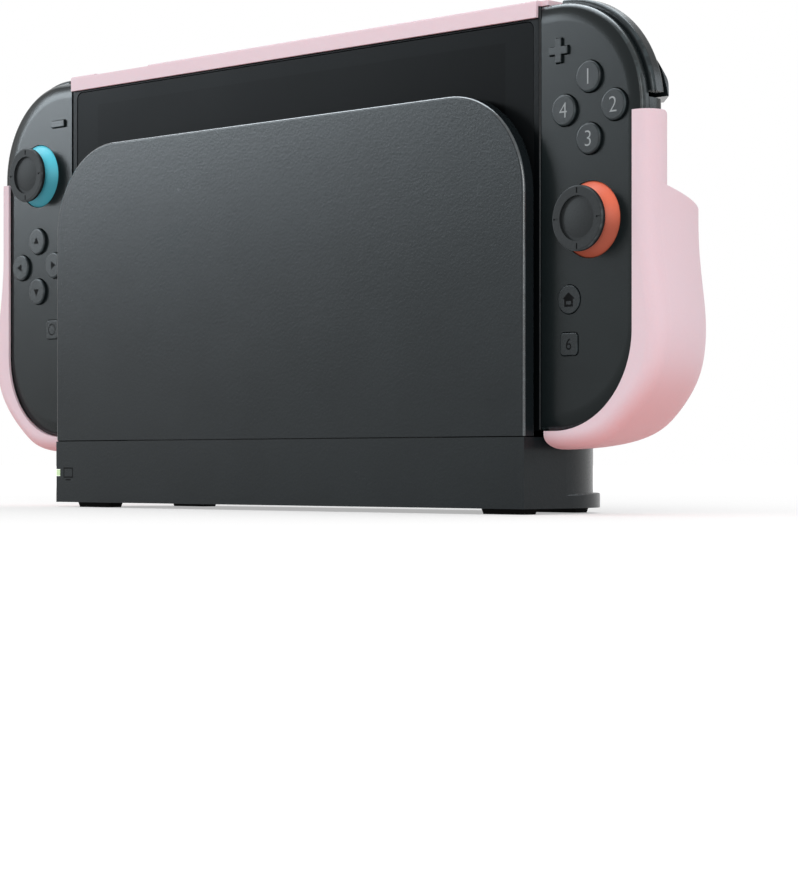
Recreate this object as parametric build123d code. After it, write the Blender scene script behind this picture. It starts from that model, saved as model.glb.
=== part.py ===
from build123d import *
import math
import os

# A handheld game console with two slide-on controllers, in a protective case, standing in its dock.
# Sizes are in millimetres. X runs to the right, Y to the back and Z up.
# The origin is on the surface that the dock stands on, at the middle of the dock's width and depth.

# Dock, outside
DOCK_WALL_DEPTH = 48.2
REAR_LIP_DEPTH = 3.0
REAR_LIP_HEIGHT = 4.1
REAR_CORNER_RADIUS = 31.0
FOOT_HEIGHT = 1.6
BASE_HEIGHT = 19.5
PANEL_HEIGHT = 93.7
PANEL_THICKNESS = 4.4
PANEL_CORNER_RADIUS = 28.0
PANEL_EDGE_RADIUS = 0.8
DOCK_WALL = 2.2
DOCK_EDGE_RADIUS = 0.6
SEAM_GAP = 0.3

# Dock, slot and what joins its pieces
FRONT_SLOT_GAP = 2.2
REAR_SLOT_GAP = 0.8
REST_RIB_HEIGHT = 1.65
REST_RIB_WIDTH = 12.0
REST_RIB_PLACE = 62.0
TONGUE_WIDTH = 150.0
TONGUE_DEPTH = 8.0
TONGUE_THICKNESS = 1.6
JOIN_GAP = 0.2

# Dock, rear cover and inside
COVER_SIDE_MARGIN = 7.5
COVER_HEIGHT = 80.0
COVER_RISE = 5.0
COVER_THICKNESS = 2.0
COVER_CORNER_RADIUS = 9.0
COVER_GAP = 0.3
COVER_LEDGE = 4.0
COVER_LEDGE_THICKNESS = 1.6
COVER_GRIP_WIDTH = 22.0
COVER_GRIP_HEIGHT = 10.0
DOCK_BOARD_WIDTH = 150.0
DOCK_BOARD_HEIGHT = 66.0
DOCK_BOARD_RISE = 8.0
DOCK_BOARD_THICKNESS = 1.6
DOCK_STANDOFF = 6.0
DOCK_STANDOFF_RADIUS = 3.0
DOCK_STANDOFF_INSET = 8.0
SOCKET_RISE = 12.0
NETWORK_SOCKET = (16.0, 10.5, 13.5)
NETWORK_MOUTH = (11.8, 9.0, 8.6)
VIDEO_SOCKET = (15.4, 9.5, 6.2)
VIDEO_MOUTH = (14.2, 8.0, 4.8)
POWER_SOCKET = (9.6, 7.5, 4.0)
POWER_MOUTH = (8.4, 6.5, 2.8)
DATA_SOCKET = (14.0, 13.2, 5.8)
DATA_MOUTH = (12.6, 12.0, 4.6)
TONGUE_SHARE = 0.22
NETWORK_PLACE = -30.0
VIDEO_PLACE = 2.0
POWER_PLACE = 28.0
DATA_SOCKET_BEHIND = 4.4
DATA_SOCKET_PITCH = 7.4
SIDE_BOARD_THICKNESS = 1.2

# Dock, feet, light and plug
FRONT_FOOT_INSET = 12.5
REAR_FOOT_INSET = 21.5
FRONT_FOOT_BEHIND = 8.0
REAR_FOOT_BEHIND = 40.0
FOOT_LENGTH = 16.0
FOOT_DEPTH = 6.0
FOOT_TAPER = 14.0
FOOT_SEAT = 0.8
LENS_WIDTH = 1.9
LENS_HEIGHT = 2.0
LENS_DEPTH = 3.0
LENS_RISE = 8.4
PLUG_WIDTH = 8.4
PLUG_THICKNESS = 2.6
PLUG_HEIGHT = 7.0
PLUG_CARRIER_WIDTH = 22.0
PLUG_CARRIER_DEPTH = 8.0
PLUG_CARRIER_HEIGHT = 5.0
PLUG_FLANGE = 3.0
PLUG_POCKET_GAP = 0.3

# Console
CONSOLE_WIDTH = 201.0
CONSOLE_HEIGHT = 114.15
CONSOLE_THICKNESS = 13.9
CONSOLE_EDGE_RADIUS = 0.6
CONSOLE_WALL = 1.5
SIDE_WALL = 5.2
REAR_COVER_THICKNESS = 4.6
SCREEN_SIDE_BORDER = 2.5
SCREEN_END_BORDER = 3.7
SCREEN_CORNER_RADIUS = 2.2
SCREEN_THICKNESS = 2.2
SCREEN_SINK = 0.15
SCREEN_GAP = 0.15
MIDPLATE_THICKNESS = 1.0

# Console, keys on its top edge
POWER_KEY_LENGTH = 8.0
VOLUME_KEY_LENGTH = 15.0
TOP_KEY_WIDTH = 3.0
TOP_KEY_PROUD = 0.5
TOP_KEY_FLANGE = 0.8
TOP_KEY_FLANGE_HEIGHT = 1.0
POWER_KEY_INSET = 17.5
VOLUME_KEY_INSET = 30.0
KEY_GAP = 0.25
VOLUME_PIN_RADIUS = 0.7
FLAP_LENGTH = 26.0
FLAP_WIDTH = 6.4
FLAP_THICKNESS = 1.1
FLAP_INSET = 27.5
FLAP_PIN_RADIUS = 0.4
FLAP_SWING_GAP = 0.4
CARD_SLOT_LENGTH = 22.0
CARD_SLOT_WIDTH = 3.4
CARD_SLOT_DEPTH = 20.0
VENT_COUNT = 9
VENT_LENGTH = 5.0
VENT_PITCH = 7.0
VENT_WIDTH = 2.6

# Console, back and inside
KICKSTAND_WIDTH = 170.0
KICKSTAND_HEIGHT = 54.0
KICKSTAND_BAR = 11.0
KICKSTAND_THICKNESS = 2.2
KICKSTAND_RISE = 3.5
KICKSTAND_GAP = 0.3
KICKSTAND_CORNER_RADIUS = 6.0
KICKSTAND_PIN_RADIUS = 0.7
BATTERY_WIDTH = 88.0
BATTERY_HEIGHT = 50.0
BATTERY_THICKNESS = 4.2
BATTERY_GAP = 0.6
CONSOLE_BOARD_SIDE_GAP = 7.3
CONSOLE_BOARD_HEIGHT = 42.0
CONSOLE_BOARD_DROP = 9.0
CONSOLE_BOARD_THICKNESS = 1.2
CONSOLE_STANDOFF = 1.2
CONSOLE_STANDOFF_RADIUS = 2.4
CONSOLE_STANDOFF_INSET = 6.0
FAN_RADIUS = 15.0
FAN_HUB_RADIUS = 5.0
FAN_THICKNESS = 3.4
FAN_LIFT = 0.5
FAN_BLADES = 11
FAN_BLADE_THICKNESS = 0.9
FAN_PIN_RADIUS = 1.2
FAN_PIN_GAP = 0.1
FAN_PLACE = 28.0
FAN_ROOM = 1.5

# Controllers, outside
CONTROLLER_WIDTH = 35.5
CONTROLLER_GAP = 0.4
CONTROLLER_CORNER_RADIUS = 29.5
FRONT_EDGE_RADIUS = 1.2
REAR_EDGE_RADIUS = 10.0
CONTROLLER_WALL = 1.5
SHELL_SPLIT = 2.5
SHELL_SEAM = 0.2

# Controllers, rail that slides into the console's side
RAIL_LENGTH = 96.0
RAIL_THICKNESS = 8.0
RAIL_PROUD = 3.0
RAIL_CORNER_RADIUS = 3.0
RAIL_GAP = 0.3
RAIL_KEY_LENGTH = 11.0
RAIL_KEY_WIDTH = 3.0
RAIL_KEY_SPREAD = 26.0
RAIL_KEY_FLANGE = 0.8

# Controllers, places of the keys, from the console's side and from the controller's bottom edge
CLUSTER_OUT = 17.6
UPPER_CLUSTER_RISE = 85.25
LOWER_CLUSTER_RISE = 55.65
CLUSTER_HALF_WIDTH = 8.6
CLUSTER_HALF_HEIGHT = 8.2
SIGN_KEY_OUT = 6.9
SIGN_KEY_RISE = 101.4
SMALL_KEY_OUT = 10.3
SMALL_KEY_RISE = 34.8
LOW_KEY_RISE = 22.9

# Controllers, sizes of the keys
ROUND_KEY_RADIUS = 4.2
ROUND_KEY_PROUD = 1.1
ROUND_KEY_EDGE = 0.5
SIGN_KEY_LENGTH = 6.5
SIGN_KEY_BAR = 2.1
SIGN_KEY_PROUD = 0.8
HOUSE_KEY_RADIUS = 3.8
SQUARE_KEY_WIDTH = 6.0
SQUARE_KEY_CORNER = 1.1
SMALL_KEY_PROUD = 0.35
SMALL_KEY_EDGE = 0.2
KEY_FLANGE = 0.8
KEY_FLANGE_THICKNESS = 1.0
PLUNGER_RADIUS = 1.4
PLUNGER_LENGTH = 4.6

# Controllers, stick
STICK_PIVOT_DEPTH = 6.7
STICK_CAP_RADIUS = 8.75
STICK_CAP_PROUD = 5.6
STICK_CAP_THICKNESS = 2.0
STICK_DISH_RADIUS = 6.0
STICK_DISH_DEPTH = 0.7
STICK_DOME_RADIUS = 5.2
STICK_DOME_RISE = 0.45
STICK_CAP_TOP_EDGE = 0.6
STICK_CAP_UNDER_EDGE = 1.1
STICK_TICK_LENGTH = 1.5
STICK_TICK_WIDTH = 0.5
STICK_TICK_DEPTH = 0.25
SKIRT_RADIUS = 11.9
SKIRT_WALL = 0.8
SKIRT_HALF_ANGLE = 76.0
SKIRT_DISC = 1.0
STICK_HOLE_GAP = 0.35
STEM_RADIUS = 1.6
STEM_BALL_RADIUS = 2.2
STEM_BORE_GAP = 0.1
STICK_CLICK = 0.5
GIMBAL_RADIUS = 5.2
GIMBAL_INNER_RADIUS = 3.2
GIMBAL_THICKNESS = 2.4
GIMBAL_PIN_RADIUS = 0.8
GIMBAL_PIN_GAP = 0.1
GIMBAL_SIDE_GAP = 0.5
LUG_THICKNESS = 1.6
LUG_HALF_WIDTH = 1.7

# Controllers, board
BOARD_DEPTH = 10.4
BOARD_THICKNESS = 0.8
BOARD_INSET = 6.4
BOARD_INNER_INSET = 2.2
BOARD_BOSS_RADIUS = 1.6
SWITCH_RADIUS = 1.8
SWITCH_HEIGHT = 2.0

# Controllers, shoulder button and trigger
SHOULDER_INNER_OUT = 5.4
SHOULDER_END_DROP = 25.9
SHOULDER_PROUD = 1.6
SHOULDER_INSIDE = 1.6
SHOULDER_FRONT_GAP = 0.35
SHOULDER_DEPTH = 4.6
SHOULDER_EDGE_RADIUS = 1.1
SHOULDER_TRAVEL = 1.6
SHOULDER_PIN_OUT = 6.8
SHOULDER_PIN_DROP = 6.5
SHOULDER_LUG = 2.0
SHOULDER_PIN_LENGTH = 2.2
TRIGGER_INNER_OUT = 11.6
TRIGGER_PROUD = 0.3
TRIGGER_BAND = 12.5
TRIGGER_GAP = 0.4
TRIGGER_REACH = 21.5
TRIGGER_TOP_DROP = 2.4
TRIGGER_CREST_DROP = 22.4
TRIGGER_END_DROP = 26.6
TRIGGER_PRESS_ROOM = 2.4
TRIGGER_TOP_ROUND = 2.5
TRIGGER_CREST_ROUND = 5.0
TRIGGER_END_ROUND = 2.6
TRIGGER_SIDE_ROUND = 4.5
TRIGGER_CREST_INSET = 2.3
TRIGGER_TOP_INSET = 14.8
TRIGGER_PIN_DROP = 7.4
TRIGGER_PIN_LENGTH = 1.9
PIN_RADIUS = 0.8
PIN_GAP = 0.1
PIN_SETBACK = 1.8
PIN_BLOCK_DEPTH = 3.2
PIN_BLOCK_MARGIN = 2.2

# Controllers, release button on the back
RELEASE_OUT = 6.2
RELEASE_RISE = 94.0
RELEASE_LENGTH = 9.0
RELEASE_WIDTH = 4.6
RELEASE_PROUD = 0.7

# Protective case, top strip and back panel
CASE_OVERLAP = 2.0
CASE_GAP = 0.2
CASE_SKIN = 1.7
CASE_TOP_SKIN = 1.4
CASE_LIP_DROP = 3.0
CASE_LIP_SKIN = 0.9
CASE_LIP_INSET = 0.6
CASE_EDGE_RADIUS = 0.8
CASE_WINDOW_MARGIN = 1.2
CASE_WINDOW_DIP = 0.45
CASE_BACK_DROP = 50.0
CASE_ARM_WIDTH = 12.0
CASE_ARM_DROP = 100.0
CASE_CORNER_RADIUS = 4.0

# Protective case, grips
GRIP_TOP_DROP = 30.9
GRIP_INNER_OUT = 2.0
GRIP_WALL = 2.8
GRIP_LIP = 3.0
GRIP_LIP_SKIN = 0.8
GRIP_BELLY_OUT = 6.0
GRIP_BELLY_RISE = 23.0
GRIP_HEEL_OUT = 3.5
GRIP_HEEL_RISE = 13.85
GRIP_TURN_IN = 8.0
GRIP_TURN_RISE = 1.05
GRIP_BOTTOM_WALL = 5.15
GRIP_STRAIGHT_RISE = 60.5
GRIP_REAR_ROUND = 7.0
GRIP_FRONT_ROUND = 4.5
GRIP_REAR_SETBACK = 2.9
GRIP_TIP_RADIUS = 3.5
GRIP_TOP_ROUND = 6.0
PALM_DEPTH = 19.2
PALM_SIDE_ROUND = 15.0
PALM_TOP_RISE = 64.2
PALM_TOP_SLOPE = 6.0
PALM_INNER_ROUND = 6.0
PALM_BOTTOM_ROUND = 8.0
PALM_STEPS = 5
PALM_WALL = 2.6

# Levels and planes that the sizes above give
FRONT_Y = -(DOCK_WALL_DEPTH + REAR_LIP_DEPTH) / 2
PANEL_BACK_Y = FRONT_Y + PANEL_THICKNESS
FACE_Y = PANEL_BACK_Y + FRONT_SLOT_GAP
BACK_Y = FACE_Y + CONSOLE_THICKNESS
MIDDLE_Y = (FACE_Y + BACK_Y) / 2
CASE_BACK_Y = BACK_Y + CASE_GAP + CASE_SKIN
GRIP_REAR_Y = BACK_Y - GRIP_REAR_SETBACK
HOUSING_FRONT_Y = CASE_BACK_Y + REAR_SLOT_GAP
HOUSING_REAR_Y = FRONT_Y + DOCK_WALL_DEPTH
SEAM_Z = FOOT_HEIGHT + BASE_HEIGHT
PANEL_TOP_Z = SEAM_Z + PANEL_HEIGHT
BOTTOM_Z = SEAM_Z + REST_RIB_HEIGHT
TOP_Z = BOTTOM_Z + CONSOLE_HEIGHT
SIDE_X = CONSOLE_WIDTH / 2
POWER_KEY_PLACE = POWER_KEY_INSET - SIDE_X
VOLUME_KEY_PLACE = VOLUME_KEY_INSET - SIDE_X
FLAP_PLACE = SIDE_X - FLAP_INSET
CONSOLE_BOARD_WIDTH = 2 * (SIDE_X - SIDE_WALL - CONSOLE_BOARD_SIDE_GAP)
DOCK_WIDTH = CONSOLE_WIDTH
COVER_WIDTH = DOCK_WIDTH - 2 * (REAR_CORNER_RADIUS + COVER_SIDE_MARGIN)
FRONT_FOOT_OUT = DOCK_WIDTH / 2 - FRONT_FOOT_INSET
REAR_FOOT_OUT = DOCK_WIDTH / 2 - REAR_FOOT_INSET
INNER_X = SIDE_X + CONTROLLER_GAP
OUTER_X = SIDE_X + CONTROLLER_WIDTH
SPLIT_Y = FACE_Y + SHELL_SPLIT
COVER_SPLIT_Y = BACK_Y - REAR_COVER_THICKNESS
MIDPLATE_Y = FACE_Y + SCREEN_SINK + SCREEN_THICKNESS
MIDPLATE_BACK_Y = MIDPLATE_Y + MIDPLATE_THICKNESS
CLUSTER_X = SIDE_X + CLUSTER_OUT
RAIL_Z = (BOTTOM_Z + TOP_Z) / 2
PIVOT_Y = FACE_Y + STICK_PIVOT_DEPTH


def block(x0, x1, y0, y1, z0, z1):
    """Box between two corners."""
    return Pos((x0 + x1) / 2, (y0 + y1) / 2, (z0 + z1) / 2) * Box(x1 - x0, y1 - y0, z1 - z0)


def rod(start, end, radius):
    """Round bar from one point to another."""
    axis = Vector(*end) - Vector(*start)
    return extrude(Plane(start, z_dir=axis) * Circle(radius), amount=axis.length)


def slab(sketch, y0, y1):
    """Sketch of a front view, whose second axis is Z, made thick from one Y to another."""
    return extrude(Plane.XZ.offset(-y0) * sketch, amount=y1 - y0, dir=(0, 1, 0))


def plate(sketch, z0, z1):
    """Sketch of a plan made thick from one Z to another."""
    return extrude(Pos(0, 0, z0) * sketch, amount=z1 - z0)


def rectangle(x0, x1, z0, z1):
    """Rectangle between two corners of a sketch."""
    return Pos((x0 + x1) / 2, (z0 + z1) / 2) * Rectangle(x1 - x0, z1 - z0)


def rounded(x0, x1, z0, z1, radius):
    """Rectangle with four round corners."""
    return Pos((x0 + x1) / 2, (z0 + z1) / 2) * RectangleRounded(x1 - x0, z1 - z0, radius)


def row_of(places, make):
    """Several like solids, one at each place."""
    return Compound(children=[make(place) for place in places])


# Dock


def dock_plan(depth, inset=0.0):
    """Plan of the dock: straight front and sides, and two round rear corners."""
    half = DOCK_WIDTH / 2 - inset
    shape = rectangle(-half, half, FRONT_Y + inset, FRONT_Y + depth - inset)
    return fillet(shape.vertices().group_by(Axis.Y)[-1], REAR_CORNER_RADIUS - inset)


def dock_front_view(z0, inset=0.0):
    """Front view of the dock above its base, with round top corners."""
    half = DOCK_WIDTH / 2 - inset
    shape = rectangle(-half, half, z0, PANEL_TOP_Z - inset)
    return fillet(shape.vertices().group_by(Axis.Y)[-1], PANEL_CORNER_RADIUS - inset)


def tongue(gap):
    """Tongue that joins the front panel to the base, or the room for it."""
    middle = FRONT_Y + (DOCK_WALL + PANEL_THICKNESS) / 2
    half = TONGUE_THICKNESS / 2 + gap
    reach = TONGUE_WIDTH / 2 + gap
    return block(-reach, reach, middle - half, middle + half, SEAM_Z - TONGUE_DEPTH, SEAM_Z + SEAM_GAP)


def dock_front_panel():
    panel = slab(dock_front_view(SEAM_Z + SEAM_GAP / 2), FRONT_Y, PANEL_BACK_Y)
    low = SEAM_Z + SEAM_GAP
    front = panel.faces().sort_by(Axis.Y)[0].edges().filter_by(lambda e: e.center().Z > low)
    back = panel.faces().sort_by(Axis.Y)[-1].edges().filter_by(lambda e: e.center().Z > low)
    return fillet(front + back, PANEL_EDGE_RADIUS) + tongue(0)


def data_socket_levels():
    """Heights of the two data sockets' lower faces in the dock's left side."""
    first = FOOT_HEIGHT + DOCK_WALL + JOIN_GAP
    return [first, first + DATA_SOCKET_PITCH]


def data_socket_box(z, gap=0.0):
    """Outside of one data socket in the dock's left side."""
    left = -DOCK_WIDTH / 2
    y0 = FRONT_Y + DATA_SOCKET_BEHIND
    length, width, height = DATA_SOCKET
    return block(left, left + length, y0 - gap, y0 + width + gap, z - gap, z + height + gap)


def indicator_lens(gap=0.0):
    """Light at the front left corner of the base, or the room for it."""
    left = -DOCK_WIDTH / 2
    low = FOOT_HEIGHT + LENS_RISE
    return block(
        left, left + LENS_WIDTH + gap, FRONT_Y, FRONT_Y + LENS_DEPTH + gap, low - gap, low + LENS_HEIGHT + gap
    )


def plug_carrier(gap=0.0):
    """Block under the plug, let into the base's deck."""
    half = PLUG_CARRIER_WIDTH / 2 + gap
    depth = PLUG_CARRIER_DEPTH / 2 + gap
    return block(
        -half, half, MIDDLE_Y - depth, MIDDLE_Y + depth, SEAM_Z - DOCK_WALL - PLUG_CARRIER_HEIGHT, SEAM_Z
    )


def foot_places():
    """Middle of each foot in plan."""
    front = FRONT_Y + FRONT_FOOT_BEHIND
    rear = FRONT_Y + REAR_FOOT_BEHIND
    return [(side * FRONT_FOOT_OUT, front) for side in (-1, 1)] + [
        (side * REAR_FOOT_OUT, rear) for side in (-1, 1)
    ]


def dock_foot(place):
    top = Pos(place[0], place[1], FOOT_HEIGHT + FOOT_SEAT) * Rectangle(FOOT_LENGTH, FOOT_DEPTH)
    return extrude(top, amount=-(FOOT_HEIGHT + FOOT_SEAT), taper=FOOT_TAPER)


def dock_base():
    under = FOOT_HEIGHT
    top = SEAM_Z - SEAM_GAP / 2
    body = plate(dock_plan(DOCK_WALL_DEPTH), under, top)
    lip = plate(dock_plan(DOCK_WALL_DEPTH + REAR_LIP_DEPTH), under, under + REAR_LIP_HEIGHT)
    rear_edges = lip.faces().sort_by(Axis.Z)[-1].edges().filter_by(lambda e: e.center().Y > 0)
    lip = fillet(rear_edges, DOCK_EDGE_RADIUS)
    body = body + lip
    room = plate(dock_plan(DOCK_WALL_DEPTH, DOCK_WALL), under + DOCK_WALL, top)
    half = DOCK_WIDTH / 2
    deck = block(-half, half, FRONT_Y, HOUSING_FRONT_Y + DOCK_WALL, top - DOCK_WALL, top)
    body = body - (room - deck)
    for side in (-1, 1):
        for end in (-1, 1):
            x = side * REST_RIB_PLACE
            y = MIDDLE_Y + end * CONSOLE_THICKNESS / 4
            body = body + block(
                x - REST_RIB_WIDTH / 2, x + REST_RIB_WIDTH / 2,
                y - CONSOLE_THICKNESS / 8, y + CONSOLE_THICKNESS / 8, top - DOCK_WALL / 2, BOTTOM_Z,
            )
    body = body - tongue(JOIN_GAP) - plug_carrier(JOIN_GAP) - indicator_lens(JOIN_GAP / 2)
    for z in data_socket_levels():
        body = body - data_socket_box(z, JOIN_GAP)
    for place in foot_places():
        seat = Pos(place[0], place[1], under) * Rectangle(FOOT_LENGTH + JOIN_GAP, FOOT_DEPTH + JOIN_GAP)
        body = body - extrude(seat, amount=FOOT_SEAT)
    return body


def cover_view(grow):
    """Rear cover seen from behind, grown on every side."""
    low = SEAM_Z + COVER_RISE
    half = COVER_WIDTH / 2
    return rounded(
        -half - grow, half + grow, low - grow, low + COVER_HEIGHT + grow, COVER_CORNER_RADIUS + grow
    )


def standoff_places(width, low, height, inset):
    """Four standoffs near a board's corners."""
    reach = width / 2 - inset
    return [(x, z) for x in (-reach, reach) for z in (low + inset, low + height - inset)]


def dock_rear_housing():
    low = SEAM_Z + SEAM_GAP / 2
    behind = block(-DOCK_WIDTH, DOCK_WIDTH, HOUSING_FRONT_Y, HOUSING_REAR_Y, low, PANEL_TOP_Z)
    outside = slab(dock_front_view(low), HOUSING_FRONT_Y, HOUSING_REAR_Y)
    outside = outside & plate(dock_plan(DOCK_WALL_DEPTH), low, PANEL_TOP_Z) & behind
    inner_front = HOUSING_FRONT_Y + DOCK_WALL
    inside = slab(dock_front_view(low, DOCK_WALL), inner_front, HOUSING_REAR_Y)
    inside = inside & plate(dock_plan(DOCK_WALL_DEPTH, DOCK_WALL), low, PANEL_TOP_Z)
    body = outside - inside
    seat = HOUSING_REAR_Y - COVER_THICKNESS
    frame = slab(cover_view(COVER_LEDGE), seat - COVER_LEDGE_THICKNESS, HOUSING_REAR_Y - DOCK_WALL / 2)
    body = body + (frame & outside)
    body = body - slab(cover_view(COVER_GAP), seat, HOUSING_REAR_Y)
    body = body - slab(cover_view(-COVER_LEDGE), seat - COVER_LEDGE_THICKNESS, seat)
    board_low = SEAM_Z + DOCK_BOARD_RISE
    for x, z in standoff_places(DOCK_BOARD_WIDTH, board_low, DOCK_BOARD_HEIGHT, DOCK_STANDOFF_INSET):
        body = body + rod(
            (x, inner_front - DOCK_WALL / 2, z), (x, inner_front + DOCK_STANDOFF, z), DOCK_STANDOFF_RADIUS
        )
    return body


def dock_rear_cover():
    seat = HOUSING_REAR_Y - COVER_THICKNESS
    cover = slab(cover_view(0), seat, HOUSING_REAR_Y)
    cover = fillet(cover.faces().sort_by(Axis.Y)[-1].edges(), DOCK_EDGE_RADIUS)
    low = SEAM_Z + COVER_RISE
    grip = slab(
        rounded(
            -COVER_GRIP_WIDTH / 2, COVER_GRIP_WIDTH / 2, low - COVER_GRIP_HEIGHT, low + COVER_GRIP_HEIGHT,
            COVER_GRIP_HEIGHT / 2,
        ),
        seat, HOUSING_REAR_Y,
    )
    return cover - grip


def socket(outer, mouth, tongue_share):
    """Metal socket whose mouth looks along +Y, seated at Y 0, with a tongue inside where it has one."""
    width, depth, height = outer
    room_width, room_depth, room_height = mouth
    body = block(-width / 2, width / 2, 0, depth, -height / 2, height / 2)
    body = body - block(
        -room_width / 2, room_width / 2, depth - room_depth, depth, -room_height / 2, room_height / 2
    )
    if tongue_share:
        half = room_height * tongue_share / 2
        inset = room_width * tongue_share / 2
        body = body + block(
            -room_width / 2 + inset, room_width / 2 - inset, depth - room_depth, depth - half, -half, half
        )
    return body


def dock_main_board():
    front = HOUSING_FRONT_Y + DOCK_WALL + DOCK_STANDOFF
    back = front + DOCK_BOARD_THICKNESS
    low = SEAM_Z + DOCK_BOARD_RISE
    half = DOCK_BOARD_WIDTH / 2
    board = block(-half, half, front, back, low, low + DOCK_BOARD_HEIGHT)
    rear_sockets = [
        (NETWORK_SOCKET, NETWORK_MOUTH, NETWORK_PLACE, 0),
        (VIDEO_SOCKET, VIDEO_MOUTH, VIDEO_PLACE, TONGUE_SHARE),
        (POWER_SOCKET, POWER_MOUTH, POWER_PLACE, TONGUE_SHARE),
    ]
    for outer, mouth, x, share in rear_sockets:
        board = board + Pos(x, back, low + SOCKET_RISE) * socket(outer, mouth, share)
    length, width, height = DATA_SOCKET
    room_length, room_width, room_height = DATA_MOUTH
    seat_x = length - DOCK_WIDTH / 2
    middle_y = FRONT_Y + DATA_SOCKET_BEHIND + width / 2
    levels = data_socket_levels()
    side = block(
        seat_x, seat_x + SIDE_BOARD_THICKNESS, middle_y - width / 2, middle_y + width / 2,
        levels[0], levels[1] + height,
    )
    turned = socket((width, length, height), (room_width, room_length, room_height), TONGUE_SHARE)
    for z in levels:
        side = side + Pos(seat_x, middle_y, z + height / 2) * Rot(0, 0, 90) * turned
    return Compound(children=[board, side])


def dock_plug():
    half = PLUG_WIDTH / 2
    thick = PLUG_THICKNESS / 2
    tip = BOTTOM_Z + PLUG_HEIGHT
    pin = plate(Pos(0, MIDDLE_Y) * SlotOverall(PLUG_WIDTH, PLUG_THICKNESS), SEAM_Z - DOCK_WALL, tip)
    pin = pin - block(
        -half + thick, half - thick, MIDDLE_Y - thick / 2, MIDDLE_Y + thick / 2, tip - thick, tip
    )
    low = SEAM_Z - DOCK_WALL - PLUG_CARRIER_HEIGHT
    reach = PLUG_CARRIER_WIDTH / 2 + PLUG_FLANGE
    under = SEAM_Z - SEAM_GAP / 2 - DOCK_WALL
    depth = PLUG_CARRIER_DEPTH / 2
    flange = block(-reach, reach, MIDDLE_Y - depth, MIDDLE_Y + depth, low, under - JOIN_GAP)
    return plug_carrier() + flange + pin


# Console


def console_box(y0, y1, inset=0.0):
    return block(-SIDE_X + inset, SIDE_X - inset, y0, y1, BOTTOM_Z + inset, TOP_Z - inset)


def screen_view(grow):
    half = SIDE_X - SCREEN_SIDE_BORDER + grow
    return rounded(
        -half, half, BOTTOM_Z + SCREEN_END_BORDER - grow, TOP_Z - SCREEN_END_BORDER + grow,
        SCREEN_CORNER_RADIUS + grow,
    )


def console_screen():
    screen = slab(screen_view(0), FACE_Y + SCREEN_SINK, MIDPLATE_Y)
    return fillet(screen.faces().sort_by(Axis.Y)[0].edges(), SCREEN_GAP)


def top_key_view(length, grow=0.0):
    """Plan of a key on the top edge."""
    return SlotOverall(length + 2 * grow, TOP_KEY_WIDTH + 2 * grow)


TOP_KEYS = [(POWER_KEY_PLACE, POWER_KEY_LENGTH), (VOLUME_KEY_PLACE, VOLUME_KEY_LENGTH)]
TOP_KEY_Y = FACE_Y + (CONSOLE_THICKNESS - REAR_COVER_THICKNESS) / 2 + MIDPLATE_THICKNESS
FLAP_FRONT_Y = TOP_KEY_Y - FLAP_WIDTH / 2
FLAP_PIN_Y = FLAP_FRONT_Y + FLAP_WIDTH - FLAP_THICKNESS / 2
FLAP_PIN_Z = TOP_Z - FLAP_THICKNESS / 2
FLAP_LEFT_X = FLAP_PLACE - FLAP_LENGTH / 2
FLAP_RIGHT_X = FLAP_PLACE + FLAP_LENGTH / 2


def key_flange_top():
    """Level of the upper face of a top key's flange."""
    return TOP_Z - CONSOLE_WALL - KEY_GAP


def rail_view(grow=0.0):
    """Rail seen along X: Y first, then Z."""
    middle = MIDDLE_Y
    return Pos(middle, RAIL_Z) * RectangleRounded(
        RAIL_THICKNESS + 2 * grow, RAIL_LENGTH + 2 * grow, RAIL_CORNER_RADIUS + grow
    )


def across(sketch, x0, x1):
    """Sketch of a side view, Y first and then Z, made thick from one X to another."""
    return extrude(Plane((x0, 0, 0), x_dir=(0, 1, 0), z_dir=(1, 0, 0)) * sketch, amount=x1 - x0)


def vent_places():
    return [VENT_PITCH * (i - (VENT_COUNT - 1) / 2) for i in range(VENT_COUNT)]


def kickstand_view(grow=0.0):
    """U-shaped stand seen from behind."""
    half = KICKSTAND_WIDTH / 2
    low = BOTTOM_Z + KICKSTAND_RISE
    high = low + KICKSTAND_HEIGHT
    bar = KICKSTAND_BAR
    outside = rounded(-half - grow, half + grow, low - grow, high + grow, KICKSTAND_CORNER_RADIUS + grow)
    inside = rectangle(-half + bar + grow, half - bar - grow, low + bar + grow, high + bar)
    inside = fillet(inside.vertices().group_by(Axis.Y)[0], KICKSTAND_CORNER_RADIUS)
    return outside - inside


def kickstand_pin_level():
    return BOTTOM_Z + KICKSTAND_RISE + KICKSTAND_HEIGHT - KICKSTAND_BAR / 2


def kickstand_pins(extra, radius):
    """Two pins at the stand's upper ends, or the holes for them."""
    half = KICKSTAND_WIDTH / 2
    y = BACK_Y - KICKSTAND_THICKNESS / 2
    z = kickstand_pin_level()
    reach = KICKSTAND_BAR / 3
    end = half + reach / 2 + extra
    return [rod((side * (half - reach), y, z), (side * end, y, z), radius) for side in (-1, 1)]


def console_kickstand():
    stand = slab(kickstand_view(), BACK_Y - KICKSTAND_THICKNESS, BACK_Y)
    for pin in kickstand_pins(0, KICKSTAND_PIN_RADIUS):
        stand = stand + pin
    return stand


def rail_recesses():
    """Recesses in the console's two sides that take the controllers' rails."""
    depth = RAIL_PROUD - CONTROLLER_GAP + RAIL_GAP
    left = across(rail_view(RAIL_GAP), -SIDE_X, depth - SIDE_X)
    return left + across(rail_view(RAIL_GAP), SIDE_X - depth, SIDE_X)


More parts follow.
